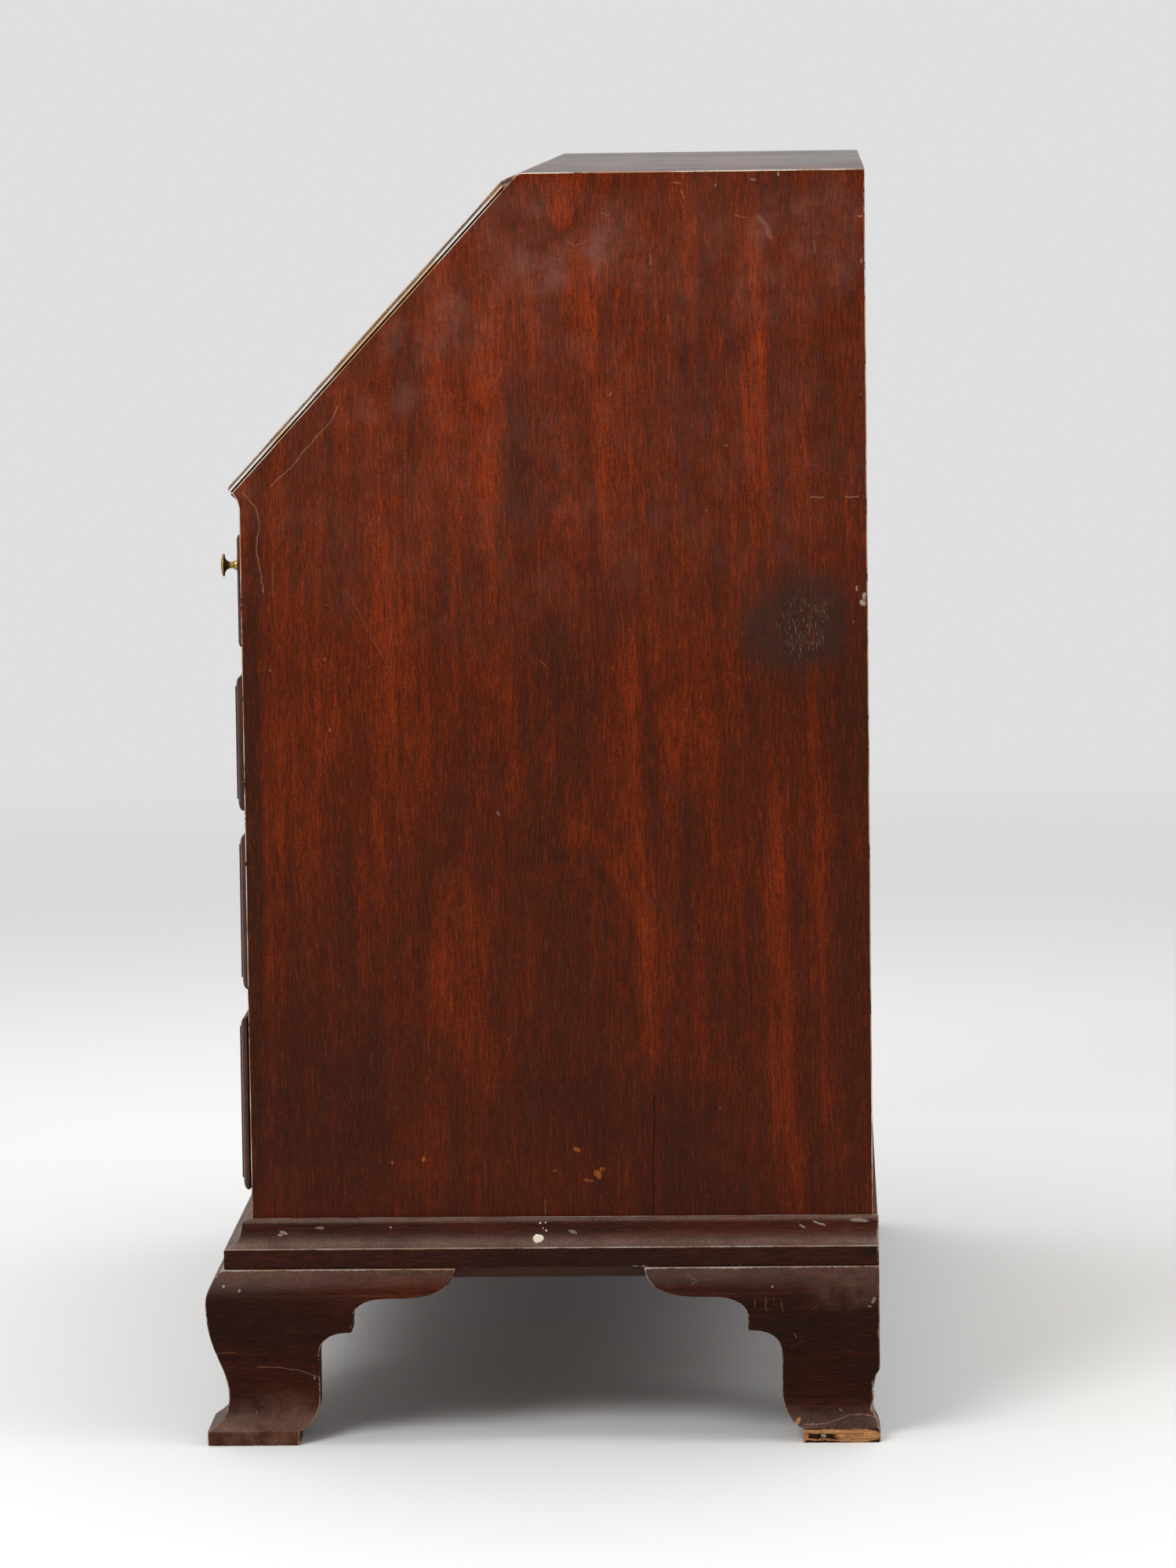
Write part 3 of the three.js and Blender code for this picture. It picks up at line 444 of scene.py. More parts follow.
class Shade:
    """The nodes of one material, or of the world."""

    def __init__(self, owner: Material | bpy.types.World) -> None:
        """Starts an owner's nodes from none."""
        owner.use_nodes = True
        self.owner, self.tree = owner, owner.node_tree
        self.tree.nodes.clear()

    def node(self, kind: str, settings: dict | None = None, values: dict | None = None) -> bpy.types.Node:
        """Adds one node.

        Args:
            kind: The node's type without its ShaderNode prefix.
            settings: Settings of the node, and the stops of a ramp as (place, colour) pairs.
            values: Values, sockets or Vals for its inputs, by name or number.

        Returns:
            The node.
        """
        node = self.tree.nodes.new("ShaderNode" + kind)
        for key, value in (settings or {}).items():
            if key == "stops":
                ramp = node.color_ramp.elements
                while len(ramp) < len(value):
                    ramp.new(0.5)
                for stop, (place, colour) in zip(ramp, value):
                    stop.position, stop.color = place, (*colour, 1)
            else:
                setattr(node, key, value)
        for key, value in (values or {}).items():
            value = value.socket if isinstance(value, Val) else value
            shown = node.inputs[key]
            if isinstance(value, Socket):
                self.tree.links.new(value, shown)
            else:
                shown.default_value = (*value, 1) if shown.type == "RGBA" else value
        return node

    def maths(self, operation: str, *operands: Input) -> Val:
        """A Math node on numbers or Vals."""
        node = self.node("Math", {"operation": operation}, dict(enumerate(operands)))
        return Val(self, node.outputs[0])

    def mix(self, share: Input, low: Input, high: Input) -> Socket:
        """Two colours mixed by a share from 0 to 1."""
        return self.node("Mix", {"data_type": "RGBA"}, {0: share, 6: low, 7: high}).outputs[2]

    def shift(self, operation: str, *vectors: Input) -> Socket:
        """A Vector Math node on two or three vectors."""
        return self.node("VectorMath", {"operation": operation}, dict(enumerate(vectors))).outputs[0]

    def place(self) -> Socket:
        """The point on the piece, in metres in the desk's frame."""
        return self.node("TexCoord").outputs["Object"]

    def turned(self, vector: Socket, turn: tuple[float, float, float]) -> Socket:
        """A vector turned by three angles."""
        return self.node("Mapping", None, {"Vector": vector, "Rotation": turn}).outputs[0]

    def parts(self, vector: Input) -> tuple[Val, Val, Val]:
        """The three coordinates of a vector."""
        node = self.node("SeparateXYZ", None, {0: vector})
        return tuple(Val(self, out) for out in node.outputs)

    def noises(self, vector: Input, scale: Input, detail: float, rough: float = 0.5) -> bpy.types.Node:
        """A noise node over a stretched vector.

        Args:
            vector: Where the noise is looked up.
            scale: How many swells it has per metre, along every axis or along each.
            detail: How many finer layers are laid over the first.
            rough: How strong each layer is beside the one before.

        Returns:
            The node, with a number as its first output and a colour of three as its second.
        """
        stretched = self.shift("MULTIPLY", vector, scale if isinstance(scale, tuple) else (scale,) * 3)
        values = {"Vector": stretched, "Scale": 1, "Detail": detail, "Roughness": rough}
        return self.node("TexNoise", None, values)

    def noise(self, vector: Input, scale: Input, detail: float = 2, rough: float = 0.5) -> Val:
        """Noise around 0.5, as a number."""
        return Val(self, self.noises(vector, scale, detail, rough).outputs[0])

    def drift(self, vector: Input, scale: Input, detail: float = 2) -> Socket:
        """Three noises around 0.5, as a vector that other places are moved by."""
        return self.noises(vector, scale, detail).outputs[1]

    def band(self, value: Input, low: float, high: float) -> Val:
        """Rises smoothly from 0 at low to 1 at high, and the other way where low is the larger.

        The curve ends at 0 and 1 of itself. A clamp would be a node more, and all clamps of a
        material are worked out together, so one with many marks would hold too many values at once.
        """
        settings = {"interpolation_type": "SMOOTHSTEP", "clamp": False}
        ends = (low, high, 0.0, 1.0) if low < high else (high, low, 1.0, 0.0)
        return Val(self, self.node("MapRange", settings, dict(enumerate((value, *ends)))).outputs[0])

    def ramp(self, value: Input, places: tuple[float, ...], tones: tuple[str, ...]) -> Socket:
        """A colour looked up on a ramp with its tones at the given places."""
        stops = [(at, linear(tone)) for at, tone in zip(places, tones)]
        return self.node("ValToRGB", {"stops": stops}, {0: value}).outputs[0]

    def worn(self) -> Val:
        """How worn the point is, which is 0 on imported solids."""
        return Val(self, self.node("Attribute", {"attribute_name": "worn"}).outputs["Fac"])

    def bump(self, height: Input, distance: float, strength: float) -> Socket:
        """A normal tilted by a height, with its full depth in metres."""
        values = {"Height": height, "Distance": distance, "Strength": strength}
        return self.node("Bump", None, values).outputs[0]

    def finished(self, values: dict[str, Input]) -> Material:
        """Closes the material with a Principled shader on the given inputs."""
        shader = self.node("BsdfPrincipled", None, values)
        self.node("OutputMaterial", None, {"Surface": shader.outputs[0]})
        return self.owner


class Grain(Enum):
    """Which way a board's grain runs, as the turn that lays it along the pattern's third axis."""

    UPRIGHT = (0.0, 0.0, math.pi / 2)
    ACROSS = (0.0, -math.pi / 2, 0.0)
    BACK = (math.pi / 2, 0.0, 0.0)


@dataclass(frozen=True)
class Smudge:
    """A soft oval patch on the right-hand side: its middle, half widths, strength and lean."""

    y: float
    z: float
    wide: float
    tall: float
    strength: float
    lean: float = 0.0


@dataclass(frozen=True)
class Scratch:
    """A scratch on the right-hand side: its half width, its strength and its (y, z) points."""

    width: float
    strength: float
    points: tuple[tuple[float, float], ...]


def smudges(*rows: tuple[float, ...]) -> tuple[Smudge, ...]:
    """Smudges from rows of their numbers."""
    return tuple(Smudge(*row) for row in rows)


def scratches(*rows: tuple[float | tuple[float, float], ...]) -> tuple[Scratch, ...]:
    """Scratches from rows of a half width, a strength and points."""
    return tuple(Scratch(width, strength, tuple(points)) for width, strength, *points in rows)


@dataclass(frozen=True)
class Marks:
    """Marks of use and the figure's own places on the right-hand side of a part.

    Pale patches are bloom and grime on the finish, partly painted sheen and a painted reflection of a lamp;
    stains are a dark ring, chips broken edges and losses bare spots.
    Casts are broad places and veins curved lines where the figure is lighter, or darker if their
    strength is below 0. A scratch with a strength below 0 is dark. Lengths are in case
    millimetres, except inside, the x in metres beyond which the marks show.
    """

    inside: float = 0.41
    hazes_and_sheens: tuple[Smudge, ...] = ()
    stains: tuple[Smudge, ...] = ()
    casts: tuple[Smudge, ...] = ()
    veins: tuple[Scratch, ...] = ()
    scratches: tuple[Scratch, ...] = ()
    chips: tuple[Smudge, ...] = ()
    losses: tuple[Smudge, ...] = ()
    chip_tone: str = "b8642a"
    chip_shade: str = "6a3214"
    loss_tone: str = "a89c8c"
    stain_tone: str = "33211a"
    dash_tone: str = "a08c74"
    dent_tone: str = "1d0f0a"
    scratch_tone: str = "a87c64"
    haze_and_sheen_share: float = 0.2
    crumbled: float = 0.6


SIDE_MARKS = Marks(
    # Pale patches high on the side: bloom on the finish, partly a painted reflection of a lamp.
    hazes_and_sheens=smudges(
        (131, 932, 9, 20, 0.8, 0.5), (163, 931, 12, 22, 1.0, 0.35), (178, 951, 13, 17, 0.8, 0.5),
        (113, 873, 12, 13, 0.7, 0.2), (140, 880, 10, 14, 0.5, 0.3), (237, 1012, 34, 42, 0.6, -0.5),
        (272, 992, 44, 20, 0.7, -0.4), (315, 1013, 26, 34, 0.75, 0.3), (262, 1045, 46, 15, 0.35),
        (440, 1020, 12, 26, 0.6, 0.5), (492, 1030, 34, 36, 0.55), (505, 990, 16, 30, 0.5, 0.2),
        (215, 965, 60, 60, 0.35), (8, 810, 12, 14, 0.6), (420, 1000, 120, 60, 0.45),
        (260, 840, 320, 150, 0.35),
    ),
    stains=smudges(
        (471, 688, 20, 27, 0.7), (470, 692, 36, 40, 0.5), (467, 690, 48, 46, 0.4),
        (440, 674, 22, 28, 0.35), (488, 690, 18, 34, 0.3),
    ),
    casts=smudges(
        (35, 640, 16, 130, 0.7), (70, 610, 12, 60, 0.7), (125, 690, 18, 130, 0.6),
        (188, 840, 32, 70, 0.8), (205, 900, 12, 25, 0.5), (210, 790, 9, 60, 0.5),
        (88, 850, 7, 40, 0.6), (325, 855, 10, 60, 0.7), (433, 870, 12, 60, 0.6),
        (440, 970, 22, 60, 0.3), (470, 800, 10, 40, 0.4), (360, 600, 11, 30, 0.8),
        (343, 390, 16, 75, 0.8), (178, 405, 26, 75, 1.1), (444, 370, 15, 130, 1.3),
        (155, 540, 8, 70, 0.4), (225, 590, 6, 50, 0.4), (152, 255, 20, 60, 0.8),
        (192, 320, 16, 50, 0.7), (455, 240, 12, 60, 0.7), (215, 440, 12, 50, 0.4),
        (25, 500, 8, 60, 0.5), (272, 1034, 9, 14, 0.9), (380, 700, 10, 60, 0.3),
        (135, 900, 5, 40, -0.9), (238, 830, 12, 80, -1.0), (395, 930, 8, 90, -1.0),
        (308, 930, 6, 40, -0.6, 0.1), (315, 700, 12, 36, -0.8), (270, 650, 26, 50, -0.9),
        (190, 600, 12, 40, -0.6), (278, 570, 14, 34, -0.7), (245, 510, 22, 26, -0.6, 0.2),
        (375, 480, 8, 60, -0.9), (60, 290, 75, 90, -0.9), (85, 440, 8, 90, -0.5),
        (6, 420, 9, 260, -1.6), (235, 300, 12, 60, -0.6), (300, 270, 90, 40, -0.5),
        (385, 240, 30, 60, -0.6), (512, 540, 14, 200, -0.9), (43, 551, 26, 80, 0.45),
        (250, 203, 200, 14, -0.35),
    ),
    veins=scratches(
        (3.5, 0.6, (262, 762), (270, 784), (277, 796), (284, 782), (290, 745)),
        (6.0, 0.5, (264, 508), (280, 516), (298, 510), (312, 488), (326, 455), (340, 420)),
        (5.0, -0.6, (262, 492), (282, 496), (296, 486), (306, 462)),
        (4.0, -0.8, (252, 1052), (262, 1022), (272, 1012), (284, 1018), (296, 1052)),
    ),
    scratches=scratches(
        (0.35, 0.9, (84, 874), (78, 862), (64, 847), (46, 826), (27, 809)),
        (0.4, 0.8, (3, 804), (14, 792), (17, 776), (14, 757), (17, 737), (19.5, 719)),
        (0.25, 0.3, (88, 722), (108, 684), (126, 650)), (0.3, 0.4, (27, 745), (27.5, 715)),
        (0.5, 0.8, (479, 794.6), (489, 794.4)), (0.5, 0.8, (507, 794.2), (518, 794.2)),
        (0.5, -1.0, (342, 289), (340.5, 240), (339.7, 187)), (0.3, 0.6, (248.4, 202), (248.2, 187)),
        (0.5, 1.0, (313, 884), (312, 881)), (0.8, 0.5, (347, 998), (347.3, 990)),
        (0.25, 0.6, (222, 905), (217, 893)), (0.3, 0.5, (410, 903), (409, 893)),
        (0.3, 0.5, (250, 660), (256, 655)), (0.6, 0.9, (213, 533), (214, 530)),
        (0.5, 0.5, (482.6, 1009), (483.6, 998)), (1.8, 0.4, (437, 1028), (443, 1022), (447, 1011)),
        (0.35, 0.7, (417.5, 1030), (421, 1029), (427.5, 1027.8)),
        (0.5, 0.6, (374, 1051), (375.5, 1045)), (0.5, 0.6, (367, 1056.8), (373, 1056.6)),
        (0.35, 0.6, (279, 1008.6), (284, 1006.4), (289, 1008)), (0.4, 0.5, (307, 1033), (313, 1031)),
        (0.35, 0.5, (264, 997), (268, 995.4), (273, 996)),
    ),
    chips=smudges(
        (276, 245.5, 3.2, 1.8, 0.8, 0.4), (293, 224, 4.6, 2.6, 0.8, 0.9), (297, 228, 2.4, 1.8, 0.9),
        (285, 219, 4.5, 1.3, 0.7), (146, 238, 1.6, 2.2, 0.9, 0.3), (257, 227, 2.2, 1.4, 0.8),
        (119.5, 235, 1.5, 1.3, 0.6),
    ),
    losses=smudges(
        (521.0, 705, 3.0, 2.4, 1.2, 0.4), (522.5, 711, 1.8, 3.4, 0.9, 0.2),
        (516.5, 718, 0.9, 2.2, 0.9), (454, 1064, 1.0, 2.2, 0.7), (433.6, 1059, 2.6, 0.7, 0.6, 0.2),
        (402, 1054.5, 0.8, 0.8, 0.6), (521.5, 1028, 2.2, 0.7, 0.6), (522.5, 991, 1.0, 2.2, 0.5),
        (23, 654, 0.8, 1.0, 0.3), (70, 662, 1.0, 1.1, 0.25),
    ),
)
MOULDING_MARKS = Marks(
    inside=0.49, loss_tone="e6dfc8", crumbled=0.0,
    losses=smudges(
        (243, 171.4, 4.0, 3.1, 1.6), (245, 183.5, 0.7, 0.7, 0.9), (249, 184, 0.6, 0.6, 0.9),
        (247, 179.5, 0.5, 0.6, 0.8), (249.5, 177.5, 0.6, 0.8, 0.8), (27, 177, 3.4, 1.4, 0.22, 0.3),
        (24, 175, 2.0, 0.8, 0.3), (58, 181, 3.6, 1.0, 0.16), (118, 181, 1.0, 0.9, 0.25),
        (272, 176, 4.0, 1.4, 0.16, 0.4), (466, 180, 3.0, 0.8, 0.25, 0.6),
        (480, 182, 6.0, 0.8, 0.25, 0.4), (514, 184, 8.0, 1.4, 0.2, 0.1),
    ),
)
FOOT_MARKS = Marks(
    inside=0.513, chip_tone="d69a62", chip_shade="9c6440", haze_and_sheen_share=0.5, crumbled=0.45,
    # Pale patches low on the foot and on its upper bulge: grime, partly painted sheen.
    hazes_and_sheens=smudges(
        (-4, 18, 44, 7, 0.3), (40, 20, 26, 9, 0.6), (-5, 6, 60, 8, 0.9), (468, 18, 18, 8, 0.7, 0.3),
        (505, 128, 30, 14, 0.35), (18, 34, 34, 9, 0.5),
    ),
    scratches=scratches(
        (0.3, 0.9, (4, 65.6), (24, 64.6), (40.5, 62), (56, 56.2)), (0.25, 0.5, (-30, 78), (-14, 79)),
        (0.25, 0.5, (425, 123), (425.5, 116)), (0.3, 0.6, (434, 124), (435, 112)),
        (0.25, 0.4, (441, 124), (441.6, 117)), (0.25, 0.5, (448, 122), (448.6, 112)),
        (0.3, 0.6, (458, 93), (460, 88)), (0.2, 0.5, (474, 114), (478, 118)),
        (0.3, 0.5, (368, 142), (376, 138), (372, 135)), (0.2, 0.3, (455, 80), (466, 86)),
        (0.3, 1.2, (466, 14), (480, 15.5), (494, 18), (503, 20.5), (514, 21.5), (525, 20)),
    ),
    chips=smudges(
        (490, 9.6, 30, 1.9, 0.95), (512, 6.2, 19, 5.4, 1.0), (465, 6.0, 4, 5.2, 0.9),
        (486, 2.6, 26, 0.9, 0.8), (460, 16, 2.0, 4.2, 0.9, 0.6), (497, 25, 1.7, 0.9, 0.6, 0.5),
    ),
    losses=smudges(
        (-22.5, 136, 1.3, 1.3, 0.8, 0.4), (-9, 133, 1.2, 1.2, 0.8), (525, 121, 1.3, 3.0, 0.5, 0.4),
        (522, 116, 1.6, 0.9, 0.4, 0.3), (523, 28, 0.8, 4.4, 0.8, 0.1),
        (523.4, 46, 0.7, 3.6, 0.7, -0.1), (529, 92, 0.7, 5.0, 0.5), (352, 128, 1.4, 1.4, 0.6),
        (482, 6, 2.4, 1.8, 0.8), (440, 133, 0.9, 0.9, 0.6), (53, 55, 0.8, 1.6, 0.6),
    ),
)


class Tracer:
    """Draws the marks on the right-hand side of a part, with every place shaken by noise first, so
    that no mark has a clean outline."""

    shakes = ((60.0, 3, 0.004), (420.0, 2, 0.0016))
    mean_shake = 2.8
    rim = 0.01
    cast_reach = 0.075

    def __init__(self, shade: Shade, place: Socket, marks: Marks) -> None:
        """Takes the material in the making, the point on the piece and the marks."""
        self.shade, self.marks = shade, marks
        shaken = place
        for scale, detail, reach in self.shakes:
            shaken = shade.shift("MULTIPLY_ADD", shade.drift(place, scale, detail), (reach,) * 3, shaken)
        _, y, z = shade.parts(shaken)
        self.y, self.z = (y - CASE_FRONT) / MM - self.mean_shake, z / MM - self.mean_shake
        self.right = shade.band(shade.parts(place)[0], marks.inside - self.rim, marks.inside + self.rim)

    def patch(self, smudge: Smudge, soft: float) -> Val:
        """A smudge's share of each point.

        Args:
            smudge: The smudge.
            soft: How wide its rim is, as a share of its own half width.

        Returns:
            Its strength inside its oval, falling to 0 across its rim.
        """
        wide, tall = self.y - smudge.y, self.z - smudge.z
        if smudge.lean:
            cosine, sine = math.cos(smudge.lean), math.sin(smudge.lean)
            wide, tall = wide * cosine - tall * sine, wide * sine + tall * cosine
        reach = (wide / smudge.wide) ** 2 + (tall / smudge.tall) ** 2
        return self.shade.band(reach, 1 + soft, 1 - soft) * smudge.strength

    def line(self, scratch: Scratch) -> Val:
        """A scratch's share of each point, from the square of its distance to the nearest span.

        Args:
            scratch: The scratch.

        Returns:
            Its strength on its line, falling to 0 at one and a half times its half width.
        """
        maths, nearest = self.shade.maths, None
        for (y0, z0), (y1, z1) in zip(scratch.points, scratch.points[1:]):
            across, up = y1 - y0, z1 - z0
            run = across ** 2 + up ** 2
            share = maths("MULTIPLY_ADD", self.y - y0, across / run, (self.z - z0) * (up / run))
            share = maths("MINIMUM", maths("MAXIMUM", share, 0.0), 1.0)
            gap = (self.y - y0 - share * across) ** 2 + (self.z - z0 - share * up) ** 2
            nearest = gap if nearest is None else maths("MINIMUM", nearest, gap)
        return self.shade.band(nearest, (1.5 * scratch.width) ** 2, 0.0) * abs(scratch.strength)

    def share(self, shapes: Iterable[Val]) -> Val:
        """The shares of several marks added up one by one, no more than 1, on the right alone."""
        return self.shade.maths("MINIMUM", sum(shapes, 0), 1.0) * self.right

    def cast(self) -> Val | float:
        """How far the figure is lifted or lowered in the board's broad places and curved veins."""
        lift = sum(self.patch(s, 0.9) for s in self.marks.casts)
        for vein in self.marks.veins:
            lift = lift + self.line(vein) * math.copysign(1.0, vein.strength)
        return lift * self.right * self.cast_reach if self.marks.casts else 0.0


@dataclass(frozen=True)
class Mahogany:
    """Old polished mahogany, cut from a log whose heart lies behind the board.

    A point's ring is its distance from the heart, which leans a little, so that straight bands
    run beside a row of pointed arches. Streaks, fibres and pores are noise drawn out along the
    grain.
    """

    name: str
    grain: Grain | tuple[float, float, float]
    heart: float = 0.0
    behind: float = 0.06
    lean: float = 0.06
    tones: tuple[str, ...] = ("38190d", "4b1b0c", "5f2007", "832c0a", "a03e0e")
    places: tuple[float, ...] = (0.34, 0.44, 0.52, 0.61, 0.74)
    wear: str = "b9a590"
    bare: str = "9a6236"
    grime: str = "2c150d"
    # Colour of the pale layer: bloom on the finish, and on some parts painted sheen and painted
    # reflections.
    haze_and_sheen: str = "8f6f66"
    grit: str = "93796c"
    mist_share: float = 0.03
    rings: float = 58.0
    broad: float = 1.0
    wear_share: float = 1.0
    # fade: how far the wood darkens towards the floor. This is partly painted shade where less light falls,
    # and partly patina.
    fade: float = 0.0
    # dust_and_top_light: how far upward faces lighten. This is partly real grit, and partly painted light
    # that falls on them from overhead.
    dust_and_top_light: float = 0.0
    marks: Marks | None = None
    rough: float = 0.34
    shine: float = 0.4
    coat: float = 0.0

    def swayed(self, shade: Shade, place: Socket) -> Socket:
        """The point with the grain laid along the third axis, moved a little from side to side."""
        turn = self.grain.value if isinstance(self.grain, Grain) else self.grain
        local = shade.turned(place, turn)
        sway = shade.drift(local, (2.6, 2.6, 1.3))
        sway = shade.shift("MULTIPLY_ADD", sway, (0.045, 0.045, 0.0), (-0.0225, -0.0225, 0.0))
        ripple = shade.drift(local, (14.0, 14.0, 6.0))
        ripple = shade.shift("MULTIPLY_ADD", ripple, (0.008, 0.008, 0.0), sway)
        return shade.shift("ADD", local, ripple)

    def material(self) -> Material:
        """Makes the material."""
        shade = Shade(bpy.data.materials.new(self.name))
        place = shade.place()
        swayed = self.swayed(shade, place)
        across, _, along = shade.parts(swayed)
        distance = ((across - self.heart) ** 2 + (self.behind + along * self.lean) ** 2) ** 0.5
        ring = Val(shade, shade.node("TexNoise", {"noise_dimensions": "1D"}, {
            "W": distance, "Scale": self.rings, "Detail": 2, "Roughness": 0.5}).outputs[0])
        cloud = shade.noise(swayed, (10.0, 10.0, 3.4), 3, 0.55)
        mottle = shade.noise(swayed, (42.0, 42.0, 9.0), 3, 0.6)
        streak = shade.noise(swayed, (170.0, 170.0, 4.5), 3, 0.6)
        stripe = shade.noise(swayed, (26.0, 26.0, 0.9), 2, 0.55)
        fibre = shade.noise(swayed, (850.0, 850.0, 60.0), 3, 0.65)
        fine = shade.noise(swayed, (1500.0, 1500.0, 240.0), 1)
        speck = shade.noise(place, 900.0, 1)
        figure = (ring * 0.24 + cloud * 0.40 + stripe * 0.26 - 0.45) * self.broad
        figure = figure + mottle * 0.20 + streak * 0.19 + fibre * 0.18 + speck * 0.26 + 0.085
        # Painted shade with patina: the wood gets darker towards the floor, by the share fade.
        low_shade_and_patina = 1.0 - shade.band(shade.parts(place)[2], 0.10, 1.0)
        if self.fade:
            figure = figure - low_shade_and_patina * (self.fade * 0.04)
        tracer = Tracer(shade, place, self.marks) if self.marks else None
        if tracer:
            figure = figure + tracer.cast()
        colour = shade.ramp(figure, self.places, self.tones)
        dark, hot = linear(self.tones[0]), linear(self.tones[-1])
        colour = shade.mix(shade.band(fibre, 0.54, 0.32) * 0.6, colour, dark)
        colour = shade.mix(shade.band(fibre, 0.52, 0.70) * 0.24, colour, hot)
        pits = shade.band(fine, 0.58, 0.72)
        colour = shade.mix(pits * 0.5, colour, dark)
        grime = shade.band(shade.noise(place, 6.0, 4, 0.6), 0.4, 0.75)
        # The painted shade towards the floor and the real grime both mix towards the grime colour.
        colour = shade.mix(low_shade_and_patina * self.fade + grime * 0.18, colour, linear(self.grime))
        mist = shade.noise(place, 30.0, 5, 0.7)
        haze_and_sheen = shade.band(mist, 0.5, 0.85) * self.mist_share
        relief = streak * 0.2 + fibre * 0.4 - pits * 0.4
        rough = self.rough + fibre * 0.10 + grime * 0.1
        if tracer:
            colour, haze_and_sheen, cut = self.marked(tracer, place, colour, haze_and_sheen, mist, fibre)
            relief = relief + cut
            rough = rough + haze_and_sheen * 0.25
        # The pale layer: bloom and mist on the finish, partly painted. On the top it is a painted
        # reflection, and on the side and feet it is painted sheen in patches.
        colour = shade.mix(haze_and_sheen, colour, linear(self.haze_and_sheen))
        # Upward faces are lightened towards the grit colour: specks of real dirt, and partly painted light,
        # since these faces catch more light from overhead.
        if self.dust_and_top_light:
            upward = shade.parts(shade.node("NewGeometry").outputs["Normal"])[2]
            grit = shade.band(shade.noise(place, 1100.0, 1), 0.42, 0.62)
            settled_dust_and_light = shade.band(upward, 0.1, 0.95) * (shade.band(mist, 0.2, 0.7) * 0.5 + grit * 0.6 + 0.2)
            colour = shade.mix(settled_dust_and_light * self.dust_and_top_light, colour, linear(self.grit))
        flake = shade.noise(place, 320.0, 3, 0.7) * 0.6 + shade.noise(place, 40.0, 2) * 0.7
        worn = shade.band(shade.worn() * (0.5 * self.wear_share) + flake, 1.03, 1.16)
        patchy = shade.band(shade.noise(place, 18.0, 2), 0.42, 0.62)
        bare = shade.mix(patchy, linear(self.wear), linear(self.bare))
        colour = shade.mix(worn * 0.8, colour, bare)
        normal = shade.bump(relief, 0.0003, 0.6)
        values = {"Base Color": colour, "Roughness": rough + worn * 0.2, "Normal": normal,
                  "Specular IOR Level": self.shine}
        if self.coat:
            values |= {"Coat Weight": self.coat, "Coat Roughness": 0.2}
        return shade.finished(values)

    def marked(self, tracer: Tracer, place: Socket, colour: Socket, haze_and_sheen: Val, mist: Val,
               fibre: Val) -> tuple[Socket, Val, Val]:
        """Lays the part's own marks over its colour.

        Args:
            tracer: What draws the marks.
            place: The point on the piece.
            colour: The wood's colour so far.
            haze_and_sheen: The share of the pale layer so far, bloom and painted sheen.
            mist: Noise that breaks up the hazes.
            fibre: Noise drawn out along the grain.

        Returns:
            The colour, the share of the pale layer of bloom and painted sheen, and the height of the cuts.
        """
        shade, marks = tracer.shade, self.marks
        fibrous = shade.band(shade.noise(place, (160.0, 160.0, 5.0), 3), 0.25, 0.7)
        crumb = shade.band(shade.noise(place, 1000.0, 2, 0.6), 0.42, 0.58)
        crumb = crumb * marks.crumbled + (1 - marks.crumbled)
        if marks.stains:
            stain = tracer.share(tracer.patch(s, 0.85) for s in marks.stains)
            heart = tracer.patch(marks.stains[0], 0.7) * tracer.right
            dash = shade.band(shade.noise(place, (1700.0, 1700.0, 210.0), 1), 0.58, 0.76)
            colour = shade.mix(stain * (0.66 + fibrous * 0.2), colour, linear(marks.stain_tone))
            colour = shade.mix(dash * (heart * 0.6 + 0.05), colour, linear(marks.dash_tone))
        # Pale patches of bloom, partly painted sheen and a painted reflection of a lamp.
        if marks.hazes_and_sheens:
            smear = sum(tracer.patch(s, 0.85) for s in marks.hazes_and_sheens) * tracer.right
            haze_and_sheen = haze_and_sheen + smear * (shade.band(mist, 0.3, 0.75) * marks.haze_and_sheen_share + 0.03)
        chip = tracer.share(tracer.patch(s, 0.35) for s in marks.chips) * crumb
        broken = shade.mix(shade.band(fibre, 0.35, 0.62), linear(marks.chip_shade), linear(marks.chip_tone))
        colour = shade.mix(chip, colour, broken)
        relief = chip
        if marks.scratches:
            dark = tracer.share(tracer.line(s) for s in marks.scratches if s.strength < 0)
            pale = tracer.share(tracer.line(s) for s in marks.scratches if s.strength > 0)
            colour = shade.mix(dark, colour, linear(marks.dent_tone))
            speck = shade.band(shade.noise(place, 170.0, 1), 0.80, 0.84)
            colour = shade.mix(pale * 0.5 + speck * 0.35, colour, linear(marks.scratch_tone))
            relief = relief + dark + pale
        loss = tracer.share(tracer.patch(s, 0.4) for s in marks.losses) * crumb
        colour = shade.mix(loss, colour, linear(marks.loss_tone))
        return colour, haze_and_sheen, (relief + loss) * -1.5


